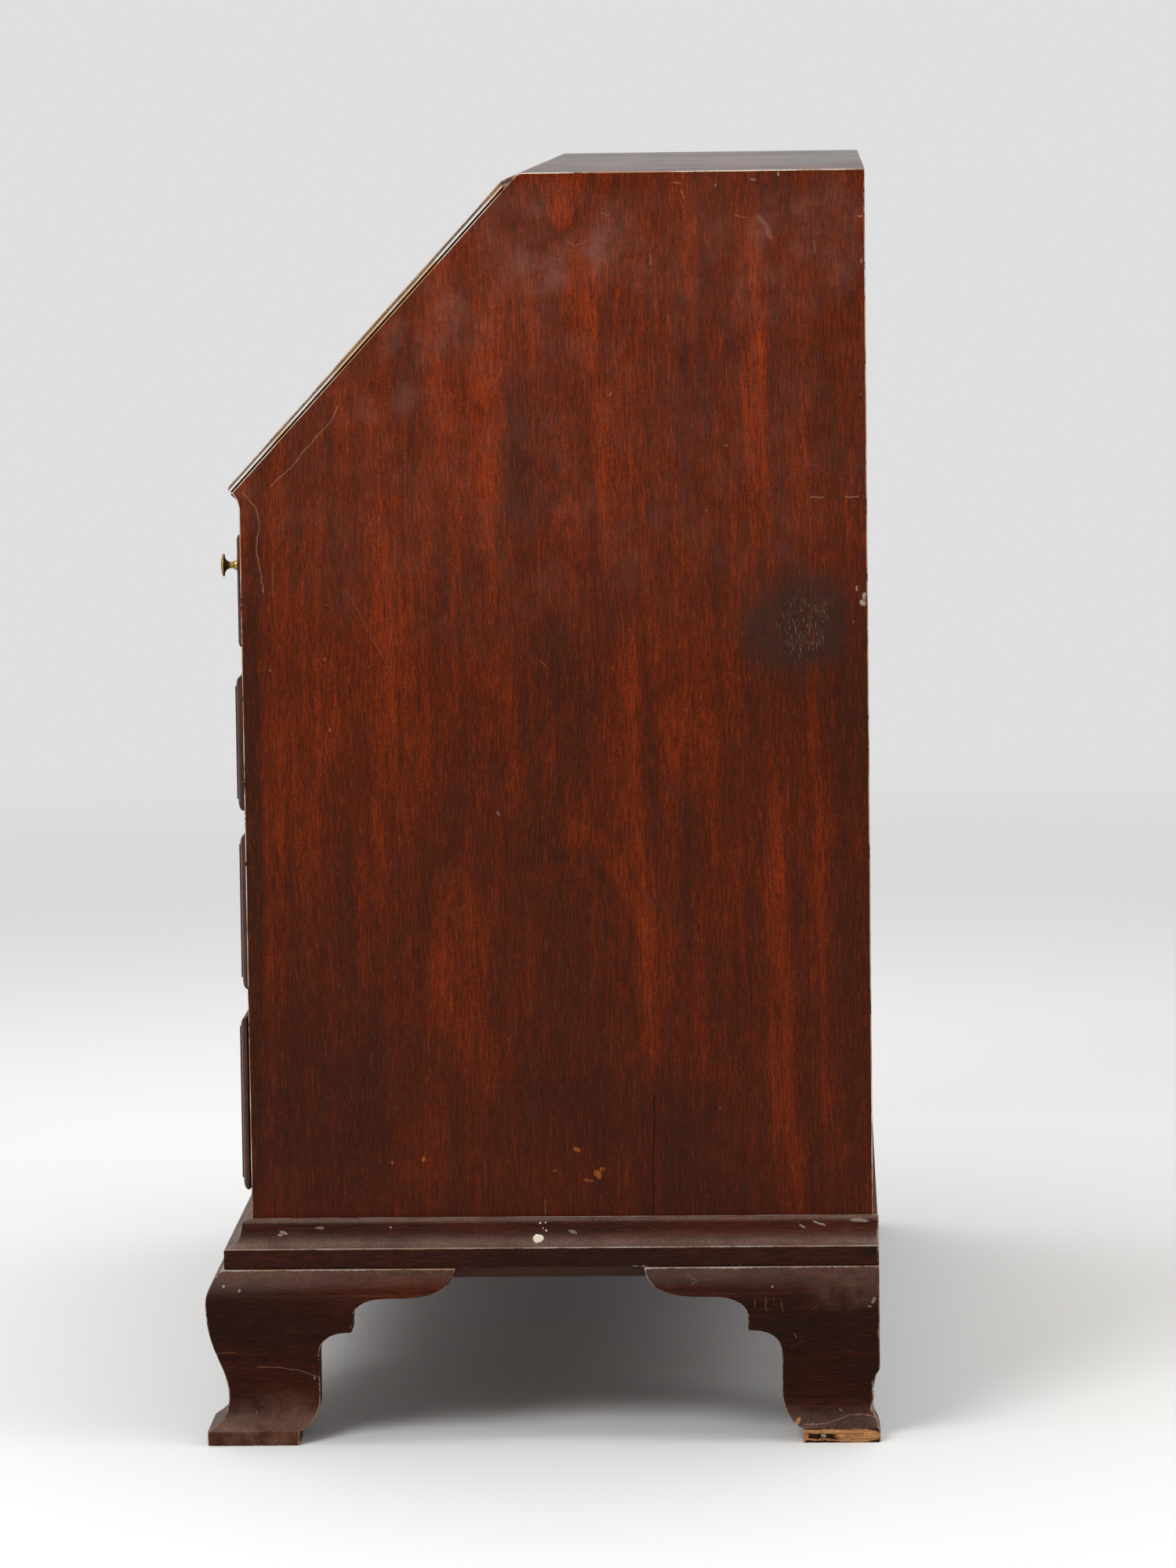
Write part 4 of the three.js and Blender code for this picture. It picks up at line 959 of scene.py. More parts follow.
@dataclass(frozen=True)
class PlainWood:
    """Undressed softwood or oak of hidden parts: broad pale grain, browned by age."""

    name: str
    grain: Grain
    tones: tuple[str, ...] = ("55392a", "7f5a3c", "9c7853")
    places: tuple[float, ...] = (0.3, 0.52, 0.75)
    grime: str = "3d2a1a"
    bare: str = "c9a777"

    def material(self) -> Material:
        """Makes the material."""
        shade = Shade(bpy.data.materials.new(self.name))
        place = shade.place()
        local = shade.turned(place, self.grain.value)
        sway = shade.drift(local, (5.0, 5.0, 1.5))
        swayed = shade.shift("MULTIPLY_ADD", sway, (0.03, 0.03, 0.0), local)
        ring = shade.noise(swayed, (55.0, 55.0, 1.0), 3)
        fibre = shade.noise(swayed, (480.0, 480.0, 7.0), 3, 0.6)
        grime = shade.band(shade.noise(place, 5.0, 5, 0.65), 0.4, 0.8)
        figure = ring * 0.7 + fibre * 0.5 - 0.1
        share = grime * 0.45
        colour = shade.mix(share, shade.ramp(figure, self.places, self.tones), linear(self.grime))
        worn = shade.band(shade.worn() + shade.noise(place, 200.0, 3) * 0.6, 0.9, 1.3)
        colour = shade.mix(worn * 0.5, colour, linear(self.bare))
        normal = shade.bump(ring * 0.5 + fibre, 0.0006, 0.7)
        return shade.finished({"Base Color": colour, "Roughness": 0.62 + fibre * 0.2, "Normal": normal,
                               "Specular IOR Level": 0.3})


@dataclass(frozen=True)
class AgedBrass:
    """Brass rubbed bright where it is handled, brown and spotted in its hollows."""

    name: str
    bright: str = "a58d50"
    dull: str = "4d3d20"

    def material(self) -> Material:
        """Makes the material."""
        shade = Shade(bpy.data.materials.new(self.name))
        place = shade.place()
        cloud = shade.noise(place, 55.0, 4, 0.6)
        spot = shade.band(shade.noise(place, 420.0, 3, 0.6), 0.55, 0.75)
        age = shade.band(cloud, 0.3, 0.7) * 0.7 + spot * 0.3
        colour = shade.mix(age, linear(self.bright), linear(self.dull))
        rough = 0.26 + age * 0.28
        normal = shade.bump(cloud * 0.6 + spot * -0.4, 0.0002, 0.5)
        return shade.finished({"Base Color": colour, "Metallic": 1.0, "Roughness": rough, "Normal": normal})


# The desk


@dataclass(frozen=True)
class Sizes:
    """Sizes that several sub-assemblies share."""

    height: float = 1067.0
    half: float = 495.0
    depth: float = 525.5
    top_depth: float = 288.0
    writing: float = 789.5
    board: float = 22.0
    floor: float = 170.8
    hinge_in: float = 3.0
    lid_body: float = 16.0
    lid_lip: float = 6.0
    seat: float = 0.3
    base_back: float = 530.0
    foot_height: float = 148.0

    @property
    def inner(self) -> float:
        """Half of the width between the sides."""
        return self.half - self.board

    @property
    def slope(self) -> tuple[float, float]:
        """How far back from the hinge and how far up from it the top's front edge lies."""
        return self.depth - self.top_depth - self.hinge_in, self.height - self.writing

    @property
    def lid_seat(self) -> float:
        """How far out from the lid's inner face the slanted edge of the sides lies."""
        return self.lid_body - self.seat

    @property
    def slant(self) -> float:
        """The slope of the closed lid, from the two points that the sides' slant passes."""
        run, rise = self.slope
        return math.atan2(rise, run) - math.asin(self.lid_seat / math.hypot(rise, run))

    @property
    def slant_length(self) -> float:
        """How far up the slope the top's front edge lies."""
        run, rise = self.slope
        return run * math.cos(self.slant) + rise * math.sin(self.slant)

    def on_slant(self, up: float | Array, out: float | Array) -> Array:
        """The (y, z) of points up the slope from the hinge and out from the lid's inner face."""
        cosine, sine = math.cos(self.slant), math.sin(self.slant)
        return np.stack(np.broadcast_arrays(self.hinge_in + up * cosine - out * sine,
                                            self.writing + up * sine + out * cosine), -1)


SIZES = Sizes()


@dataclass
class Carcase:
    """The case: sides mitred to the top, the boards between them and the back."""

    ease: float = 1.2
    top_round: float = 4.0
    beak_rise: float = 1.5
    beak_hollow: tuple[float, float] = (0.3, 0.72)
    lip_set_back: float = 3.6
    mitre_gap: float = 0.05
    plank_gap: float = 1.2
    planks_each: int = 3
    nail_rows: int = 4
    nail_in: tuple[float, float] = (9.0, 30.0)
    nail_sunk: float = 0.25
    nail: tuple[Point, ...] = ((0.1, -1), (3.4, -1), (3.6, 0.0), (3.0, 0.25), (0.1, 0.45))

    def slant_corner(self) -> Array:
        """The sides' slanted edge from the beak's tip to the top's rounded front corner."""
        front = SIZES.depth - SIZES.top_depth
        start = SIZES.on_slant(SIZES.slant_length - self.top_round, SIZES.lid_seat)
        return curve(start, (front, SIZES.height), (front + self.top_round, SIZES.height), 8)

    def beak(self) -> Array:
        """The hollow edge under the beak, from the case's front to the beak's tip."""
        tip = SIZES.on_slant(self.lip_set_back, SIZES.lid_seat)
        foot = SIZES.writing + self.beak_rise
        hollow = (tip[0] * self.beak_hollow[0], foot + (tip[1] - foot) * self.beak_hollow[1])
        return curve((0, foot), hollow, tip, 10)

    def side(self) -> Surface:
        """The right-hand side: its outline is eased on the outer face and clipped by the mitre,
        where the height is no more than the top's less the distance from the outer face."""
        outline = np.concatenate([[(0, SIZES.floor)], self.beak(), self.slant_corner(),
                                  [(SIZES.depth, SIZES.height), (SIZES.depth, SIZES.floor)]])
        sine, cosine = arc_shares(4)
        travel = np.r_[self.ease * (1 - cosine), SIZES.board - 0.2, SIZES.board]
        insets = np.r_[self.ease * (1 - sine), 0, 0.2]
        rings = np.stack([inset(outline, distance) for distance in insets])
        x = np.broadcast_to((SIZES.half - travel)[:, None], rings.shape[:2])
        up = np.minimum(rings[..., 1], SIZES.height - (SIZES.half - x))
        wear = np.r_[0, 1, 1, 1, 0.2, 0, 0]
        return loft(np.stack([x, rings[..., 0], up], 2), wear[:, None])

    def top(self) -> Surface:
        """The top: its section runs along x as far as the mitre lets each of its heights."""
        under = SIZES.height - SIZES.board
        low = (under - SIZES.on_slant(0, SIZES.lid_seat)[1]) / math.sin(SIZES.slant)
        section = np.concatenate([[SIZES.on_slant(low, SIZES.lid_seat)], self.slant_corner(),
                                  [(SIZES.depth, SIZES.height), (SIZES.depth, under)]])
        sine, cosine = (share[2:] for share in arc_shares(4))
        insets = np.r_[self.ease * (1 - sine), self.ease * (1 - sine[::-1])]
        reach = SIZES.half - self.mitre_gap - self.ease * (1 - cosine)
        rings = np.stack([inset(section, distance) for distance in insets])
        reach = np.r_[reach, -reach[::-1]][:, None]
        mitre = SIZES.half - self.mitre_gap - (SIZES.height - rings[..., 1])
        x = np.sign(reach) * np.minimum(np.abs(reach), mitre)
        wear = np.r_[1, 1, 0, 0, 1, 1]
        return loft(np.stack([x, rings[..., 0], rings[..., 1]], 2), wear[:, None])

    def planks(self, node: str) -> Surface:
        """A back board as level planks, each with worn edges and a gap to the next."""
        low, high = cad_box(node)
        pitch = (high[2] - low[2]) / self.planks_each
        planks = []
        for at in range(self.planks_each):
            bottom, top = low[2] + at * pitch + (self.plank_gap if at else 0), low[2] + (at + 1) * pitch
            outline = rounded([(low[1], bottom), (high[1], bottom), (high[1], top), (low[1], top)], 1.0)
            planks.append(eased_prism(outline, low[0], high[0]).mapped(along_x))
        return joined(planks)

    def nails(self, node: str) -> Surface:
        """The heads of the nails that hold a back board to the sides, in rows down each end."""
        low, high = cad_box(node)
        head = turned(self.nail, 10).mapped(along_y)
        across, down = self.nail_in
        heights = np.linspace(low[2] + down, high[2] - down, self.nail_rows)
        return joined([head.moved(side * (high[0] - across), high[1] - self.nail_sunk, height)
                       for side in (-1, 1) for height in heights])

    def build(self, wood: "Finishes") -> None:
        """Builds and dresses the case."""
        add_both("side_{}_panel", "side_{}", self.side(), wood.side, "case")
        add_piece("top_panel", self.top(), wood.top, "case", ("top_board",))
        for name in ("lower", "upper"):
            node = f"back_board_{name}"
            planks, nails = self.planks(node), self.nails(node)
            add_piece(f"back_planks_{name}", planks, wood.plain_across, "case", (node,))
            add_piece(f"back_nails_{name}", nails, wood.iron, "case")
        rails = [f"divider_over_{level}_drawer" for level in ("bottom", "lower", "upper")]
        dress(wood.front, "case_bottom", "writing_board", *rails)
        dress(wood.upright, "loper_partition_left", "loper_partition_right")


@dataclass
class Base:
    """The base: a frame, mitred mouldings, and ogee bracket feet.

    The foot's bulge and hollow are (out, up) points of its ogee. The pad's numbers are its height,
    its length and the cove above it, and bites are how deep the broken back edge is at a height.
    """

    top: float = 188.0
    ledge: float = 2.0
    round: float = 6.0
    projection: float = 22.5
    band: float = 17.7
    band_round: float = 2.0
    foot_out: float = 25.0
    bulge: tuple[float, float] = (37.7, 121.0)
    hollow: tuple[float, float] = (20.6, 37.0)
    pad: tuple[float, float, float] = (12.0, 65.0, 4.0)
    arris: float = 1.6
    bites: tuple[tuple[float, float], ...] = (
        (8, 0.0), (12, 0.8), (17, 2.2), (20, 4.2), (23, 5.6), (30, 6.0), (35, 5.2), (41, 6.4), (46, 4.8),
        (49, 4.4), (56, 2.6), (58.5, 0.4), (60, 0.0),
    )
    frame_bottom: float = 136.0
    member: float = 70.0
    block: float = 45.0
    let_in: float = 0.6

    def section(self) -> tuple[Array, Array]:
        """The moulding's (out, up) section and the wear of its points: quarter round, cove, band."""
        foot = SIZES.foot_height + SIZES.seat
        band_top = SIZES.foot_height + self.band
        shoulder, round_foot, nose = self.ledge + self.round, self.top - self.round, self.projection
        turn = self.band_round
        cove = (shoulder, round_foot), (shoulder + self.round / 4, band_top), (nose - turn, band_top)
        runs = [
            (np.array([(SIZES.seat, self.top), (self.ledge, self.top)]), 1.1),
            (curve((self.ledge, self.top), (shoulder, self.top), (shoulder, round_foot), 8)[1:], 0.0),
            (curve(*cove, 12)[1:], 0.0),
            # The band's upper arris is worn pale all along: a painted highlight line, partly real wear.
            (curve((nose - turn, band_top), (nose, band_top), (nose, band_top - turn), 6)[1:],
             np.array([0.5, 1.15, 1.2, 1.0, 0.5, 0])),
            (np.array([(nose, band_top - turn - 0.6), (nose, foot + 1.7)]), 0.0),
            (curve((nose, foot + 1.2), (nose, foot), (nose - 1.2, foot), 4), 0.5),
            (np.array([(SIZES.seat, foot)]), 0.0),
        ]
        wear = [np.broadcast_to(np.asarray(w, float), len(run)) for run, w in runs]
        return np.concatenate([run for run, _ in runs]), np.concatenate(wear)

    def side_moulding(self) -> Surface:
        """The right-hand moulding: the section runs back from the mitre, where y is less than
        zero by as much as x goes beyond the case, and is drawn in a little at its back end."""
        section, wear = self.section()
        out, up = section.T
        back, rubbed = SIZES.base_back, np.maximum(wear, 0.9)
        rings = []
        for y, drawn in ((-out, 0), (-out + 3, 0), (back - 4, 0), (back - 0.8, 0), (back, 0.8)):
            x = SIZES.half + np.maximum(out - drawn * (out > 1), SIZES.seat)
            height = np.clip(up, SIZES.foot_height + SIZES.seat + drawn, self.top - drawn)
            rings.append(np.stack([x, np.broadcast_to(y, x.shape), height], 1))
        return loft(np.stack(rings), np.stack([np.maximum(wear, 0.5), wear, wear, rubbed, rubbed]))

    def front_moulding(self) -> Surface:
        """The front moulding: the section runs between the two mitres."""
        section, wear = self.section()
        out, up = section.T
        reach, rubbed = SIZES.half + out - SIZES.seat, np.maximum(wear, 0.5)
        rings = np.stack([np.stack([x, -out, up], 1) for x in (-reach, -reach + 3, reach - 3, reach)])
        return loft(rings, np.stack([rubbed, wear, wear, rubbed]))

    def ogee(self, height: Array) -> Array:
        """How far a foot's outer face stands out at each height, read off its drawn curve."""
        pad, _, cove = self.pad
        (far, high), (near, low) = self.bulge, self.hollow
        bend, brow = (high - low) / 2, (high + SIZES.foot_height) / 2
        path = np.concatenate([
            [(far, 0.0)],
            cubic((far, pad), (far - cove / 2, pad + cove / 2), (near + 1, pad + cove), (near, low), 24),
            cubic((near, low), (near, high - 1.3 * bend), (far, high - bend), (far, high), 24)[1:],
            curve((far, high), (far, brow), (self.foot_out, SIZES.foot_height), 16)[1:],
        ])
        order = np.maximum.accumulate(path[:, 1] + np.arange(len(path)) * 1e-6)
        return np.interp(height, order, path[:, 0])

    def scroll(self) -> Array:
        """The (reach, up) of the scroll under a bracket, from its pad to the tip of its wing."""
        pad, length, _ = self.pad
        return np.concatenate([
            [(length, 0.0), (length, pad - 1)],
            curve((length, pad), (78, pad + 3.5), (82, 33), 10),
            [(82, 48), (82, 62)],
            curve((82, 74), (82, 95.9), (110, 96), 10),
            [(110.3, 96.3), (110.3, 103)],
            curve((110.4, 103.5), (110.4, 124.9), (140, 125), 8),
            curve((152, 125.1), (196, 125.4), (198, 149.2), 12),
            [(198, 150.0)],
        ])

    def heights(self) -> tuple[Array, Array]:
        """Rows of a foot: its heights from the floor up and the scroll's reach at each."""
        scroll = self.scroll()
        up = scroll[:, 1] + np.arange(len(scroll)) * 1e-4
        rows = np.unique(np.concatenate([up, np.linspace(0, SIZES.foot_height, 76)]).round(4))
        rows = rows[rows <= SIZES.foot_height]
        return rows, np.interp(rows, up, scroll[:, 0])

    def corner(self, x: float | Array, y: float | Array) -> Array:
        """A sharp corner of a foot's plan, one point for each row."""
        return np.stack(np.broadcast_arrays(x, y), 1)[:, None]

    def arc(self, x: Array, y: Array, start: float) -> Array:
        """A worn arris of a foot's plan: points round a quarter turn about each row's middle."""
        angle = math.radians(start) + np.linspace(0, math.pi / 2, 4)
        return self.corner(x, y) + np.stack([np.cos(angle), np.sin(angle)], 1)[None] * self.arris

    def front_foot(self) -> Surface:
        """The right front foot: at each height its plan is an L with rounded arrises, one leg
        along the front and one along the side, and the plans are skinned upwards."""
        height, reach = self.heights()
        out, r = self.ogee(height), self.arris
        half, seat, leg = SIZES.half, SIZES.seat, reach - self.foot_out
        outer, front, inner = half + out, -out, np.full_like(out, half + seat)
        plan = np.concatenate([
            self.arc(outer - r, front + r, -90), self.arc(outer - r, leg - r, 0),
            self.corner(inner, leg), self.corner(inner, -seat), self.corner(half - leg, -seat),
            self.arc(half - leg + r, front + r, 180),
        ], 1)
        arris = [0, 0.8, 0.8, 0]
        wear = np.r_[arris, arris, 0, 0, 0, arris]
        return joined([self.eased_end(raised(plan, height), wear), self.glue_block(-2 * seat)])

    def rear_foot(self, broken: bool) -> Surface:
        """The right rear foot: its ogee bracket, the plain bracket behind it and a glue block.

        Args:
            broken: Whether its back edge is splintered away above the pad.

        Returns:
            The foot as one surface.
        """
        height, reach = self.heights()
        out, r = self.ogee(height), self.arris
        half, back, inner = SIZES.half, SIZES.base_back, SIZES.half + SIZES.seat
        outer, start = half + out, back - reach
        bite = np.interp(height, *np.transpose(self.bites)) if broken else np.zeros_like(height)
        end = back - bite
        plan = np.concatenate([self.arc(outer - r, start + r, -90), self.arc(outer - r, end - r, 0),
                               self.corner(inner, end), self.corner(inner, start)], 1)
        wear = np.array([[0, 0.8, 0.8, 0, 0, 0.8, 0.8, 0, 0, 0]] * len(height))
        wear[:, 5:8] = np.maximum(wear[:, 5:8], np.minimum(bite, 3.0)[:, None] * 0.35)
        top, side, tip = self.frame_bottom - SIZES.seat, half + self.let_in, half - 150
        bracket = rounded([(side, 0.0), (half - 70, 0.0), (half - 70, 12.0), (tip, 95.0), (tip, top),
                           (side, top)], 1.0)
        behind = eased_prism(bracket, back - 27, back - 7).mapped(along_y)
        return joined([self.eased_end(raised(plan, height), wear), behind, self.glue_block(back - 65)])

    def eased_end(self, rings: Array, wear: Array) -> Surface:
        """Skins a foot's plans.

        Args:
            rings: The plans, from the floor up.
            wear: Wear of a plan's points, or of every plan's.

        Returns:
            The foot, its lowest plan drawn in a little where the pad's edge is worn, and more worn
            low down, at the pad's upper edge and under the moulding.
        """
        low = rings[0] + (rings[0].mean(0) - rings[0]) * 0.012
        rings = np.concatenate([low[None], rings[:1] + (0, 0, 0.8), rings[1:]])
        wear = np.broadcast_to(wear, (len(rings) - 1, rings.shape[1]))
        wear = np.concatenate([wear[:1], wear])
        rows = rings[:, 0, 2]
        rub = np.exp(-rows / 2.0) * 0.8 + np.exp(-((rows - self.pad[0]) / 1.0) ** 2) * 0.6
        rub += np.exp(-(SIZES.foot_height - rows) / 0.5) * 1.2
        wear = wear * (1 + np.exp(-((rows - 26) / 12) ** 2) * 0.35)[:, None]
        return loft(rings, np.minimum(wear + rub[:, None], 1.2))

    def glue_block(self, start: float) -> Surface:
        """The block in the corner behind a foot, under the base frame, from a place in y back."""
        near, far, end = SIZES.half - self.block, SIZES.half + self.let_in, start + self.block
        outline = rounded([(near, start), (far, start), (far, end), (near, end)], 1.5)
        return eased_prism(outline, 10.0, self.frame_bottom - SIZES.seat)

    def members(self) -> Surface:
        """The frame under the case: two long members, and a short one between them at each end,
        with worn lower arrises."""
        low, high = cad_box("base_frame")
        bottom, rubbed = self.frame_bottom, np.r_[np.full(8, 0.45), np.zeros(8)]

        def bar(start: float) -> Array:
            """A member's section from a place across it."""
            end = start + self.member
            return rounded([(start, bottom), (end, bottom), (end, high[2]), (start, high[2])], 1.4)

        bars = [eased_prism(bar(start), low[0], high[0], rubbed=rubbed).mapped(along_x)
                for start in (low[1], high[1] - self.member)]
        span = low[1] + self.member + SIZES.seat, high[1] - self.member - SIZES.seat
        bars += [eased_prism(bar(start), *span, 0.5, rubbed).mapped(along_y)
                 for start in (low[0], high[0] - self.member)]
        return joined(bars)

    def build(self, wood: "Finishes") -> None:
        """Builds and dresses the base."""
        add_piece("base_members", self.members(), wood.frame, "case", ("base_frame",))
        add_piece("moulding_front", self.front_moulding(), wood.moulding_front, "case",
                  ("base_moulding_front",))
        for name, node, right, finish, left in (
                ("moulding_{}", "base_moulding_{}", self.side_moulding(), wood.moulding_side, None),
                ("foot_front_{}", "front_foot_{}", self.front_foot(), wood.foot, None),
                ("foot_rear_{}", "rear_foot_{}", self.rear_foot(True), wood.foot, self.rear_foot(False))):
            add_both(name, node, right, finish, "case", left)


@dataclass
class FallLid:
    """The lid: a panel between two cleats, lipped and thumb-moulded at its ends."""

    width: float = 11.0
    under: tuple[float, float] = (8.0, 1.1)
    edge: float = 2.8
    step: float = 1.6
    bevel: float = 0.7
    cleat: float = 65.0
    lip_low: float = 3.6
    lip_margin: float = 14.5
    edge_inset: float = 0.5
    side_clearance: float = 1.0
    top_clearance: float = 2.5
    hinge_share: float = 0.6
    hinge_room: float = 37.9
    hinge_reach: float = 38.4
    barrel: float = 3.0
    leaf: float = 2.1
    screw: tuple[Point, ...] = ((0.1, -0.6), (3.2, -0.6), (3.5, 0.0), (3.1, 0.15), (0.1, 0.15))
    screw_steps: tuple[float, ...] = (-27.0, 0.0, 27.0)
    screw_up: float = 24.0
    screw_sunk: float = 0.3

    def mould(self) -> tuple[Array, Array, Array, Array]:
        """The thumb mould, from the lip's back, which is hollowed towards its edge, to the field.

        Returns:
            How far in each point lies at the lid's ends, how far in at its upper edge, where the
            lip is only bevelled, how high above the lip's back, and the wear.
        """
        sine, cosine = arc_shares(10)
        shoulder = SIZES.lid_lip - self.step
        nose, turn = np.array([0, 0.1, 0.4, 1.6, 2.6]), np.array([0.5, 0.15, 0.02, 0, 0])
        inward = np.r_[self.under[0], 0.3, 0, self.width * (1 - cosine), self.width + nose]
        height = np.r_[0, self.under[1], self.under[1] + 0.3, self.edge + (shoulder - self.edge) * sine,
                       SIZES.lid_lip - turn]
        upper = self.bevel * (SIZES.lid_lip - height) + np.r_[np.zeros(len(height) - 5), nose]
        # The wear on the lip's arrises is partly bare worn wood, and partly a painted highlight along the
        # lid's edge.
        wear = np.r_[0, 0.5, 1.2, 1.2, 0.3, np.zeros(len(sine) - 3), 0.4, 1.2, 1.2, 1.2, 0.4, 0]
        return inward, upper, height, wear

    def hinge_corner(self, cut: bool) -> Array:
        """The panel's inner corner as (up, out) points: square, or cut out for a hinge's leaf
        and barrel."""
        reach, barrel, leaf = self.hinge_reach, self.barrel, self.leaf
        if not cut:
            return np.array([(0, barrel), (0, leaf), (0, 1), (0, 0), (leaf, 0), (reach - 0.1, 0),
                             (reach, 0)])
        turn = math.asin(leaf / barrel)
        angles = (math.pi / 2, (math.pi / 2 + turn) / 2, turn)
        arc = [(barrel * math.cos(angle), barrel * math.sin(angle)) for angle in angles]
        return np.array([*arc, (barrel, leaf), (reach / 2, leaf), (reach, leaf), (reach, 0)])

    def body_top(self) -> float:
        """How far up the slope the lid's body reaches under the top."""
        under = SIZES.height - SIZES.board - self.top_clearance
        return (under - SIZES.on_slant(0, SIZES.lid_body)[1]) / math.sin(SIZES.slant)

    def panel(self) -> Surface:
        """The panel: its (up, out) section runs along x between the cleats, and changes where the
        hinges are let in."""
        _, upper, height, wear = self.mould()
        end, body, low = SIZES.slant_length - self.lip_margin, SIZES.lid_body, self.lip_low
        face = body + SIZES.lid_lip
        outer = np.concatenate([
            [(self.body_top(), 0), (self.body_top(), body)],
            np.stack([end - upper, body + height], 1),
            [(low + 1.2, face), (low + 0.4, face - 0.1), (low, face - 0.5), (low, face - 1.2), (low, body),
             (0, body)],
        ])
        worn = np.r_[np.zeros(9), wear, 0, 0.9, 0.9, 0, 0, 0]
        half, middle = SIZES.inner - self.cleat - SIZES.seat, self.hinge_share * SIZES.inner
        room = self.hinge_room
        stations = [(-half, False)]
        for hinge in (-middle, middle):
            stations += [(hinge - room - 0.02, False), (hinge - room, True), (hinge + room, True),
                         (hinge + room + 0.02, False)]
        stations.append((half, False))
        sections = np.stack([np.concatenate([self.hinge_corner(cut), outer]) for _, cut in stations])
        return loft(raised(sections, [x for x, _ in stations]), worn)

    def end_cleat(self) -> Surface:
        """The right-hand cleat: rectangles skinned outwards, set in where its edges are moulded."""
        low, high = SIZES.inner - self.cleat, SIZES.half - self.edge_inset
        end, inner = SIZES.slant_length - self.lip_margin, SIZES.inner - self.side_clearance
        top, body = self.body_top(), SIZES.lid_body
        face = body + SIZES.lid_lip
        rings = [(low, inner, 0, top, 0, 0), (low, inner, 0, top, body, 0),
                 (low, inner, self.lip_low + 0.05, top, body, 0)]
        rings += [(low + 0.04, high - i, self.lip_low + (h / SIZES.lid_lip) ** 8, end - u, body + h, w)
                  for i, u, h, w in zip(*self.mould())]
        rings.append((low + 0.04, high - self.width - 4, self.lip_low + 3, end - 5, face, 0))
        return slab(rings, 0.02)

    def seated(self, points: Array) -> Array:
        """Lays (x, up, out) points on the closed lid's slope."""
        return np.column_stack([points[:, 0], SIZES.on_slant(points[:, 1], points[:, 2])])

    def screws(self, sign: int, on_lid: bool) -> Surface:
        """Screw heads on a hinge leaf: flat discs.

        Args:
            sign: The hinge's side.
            on_lid: Whether the leaf is the lid's, and not the writing board's.

        Returns:
            The three heads as one surface.
        """
        head, heads = turned(self.screw, 20), []
        for step in self.screw_steps:
            placed = head.moved(sign * self.hinge_share * SIZES.inner + step, self.screw_up)
            if on_lid:
                placed = placed.mapped(lambda p: self.seated(p * (1, 1, -1) + (0, 0, self.screw_sunk)))
            else:
                placed = placed.moved(y=SIZES.hinge_in, z=SIZES.writing - self.screw_sunk)
            heads.append(placed)
        return joined(heads)

    def build(self, wood: "Finishes") -> None:
        """Builds and dresses the lid and its hinges."""
        panel = self.panel().mapped(lambda p: self.seated(along_x(p)))
        add_piece("fall_panel", panel, wood.lid, "lid", ("lid_panel",))
        cleat = self.end_cleat().mapped(self.seated)
        add_both("fall_cleat_{}", "lid_cleat_{}", cleat, wood.cleat, "lid")
        for side, sign in SIDES.items():
            dress(wood.brass, f"lid_hinge_leaf_{side}", f"bed_hinge_leaf_{side}")
            add_piece(f"lid_screws_{side}", self.screws(sign, True), wood.brass, "lid")
            add_piece(f"bed_screws_{side}", self.screws(sign, False), wood.brass, "case")


def knob_profile(collar: float, neck: float, head: float, length: float) -> Array:
    """The (radius, along) profile of a turned knob: a small collar, a neck that flares like a
    trumpet, and a thin, slightly domed head."""
    foot, waist, rim, edge = 0.20 * length, 0.38 * length, 0.78 * length, 0.86 * length
    return np.concatenate([
        [(0.0, 0.0), (collar - 0.3, 0.0), (collar, 0.3), (collar, foot - 0.4)],
        curve((collar - 0.2, foot), (neck, foot + 0.3), (neck, waist), 6),
        curve((neck, waist + 0.2), (neck * 1.15, rim * 0.96), (head * 0.94, rim), 12),
        curve((head * 0.97, rim + 0.1), (head, rim + 0.15), (head, (rim + edge) / 2), 3),
        curve((head, edge - 0.2), (head * 0.98, edge + 0.3), (head * 0.86, edge + 0.6), 4),
        curve((head * 0.84, edge + 0.65), (head * 0.45, length), (0.0, length), 8)[1:],
    ])


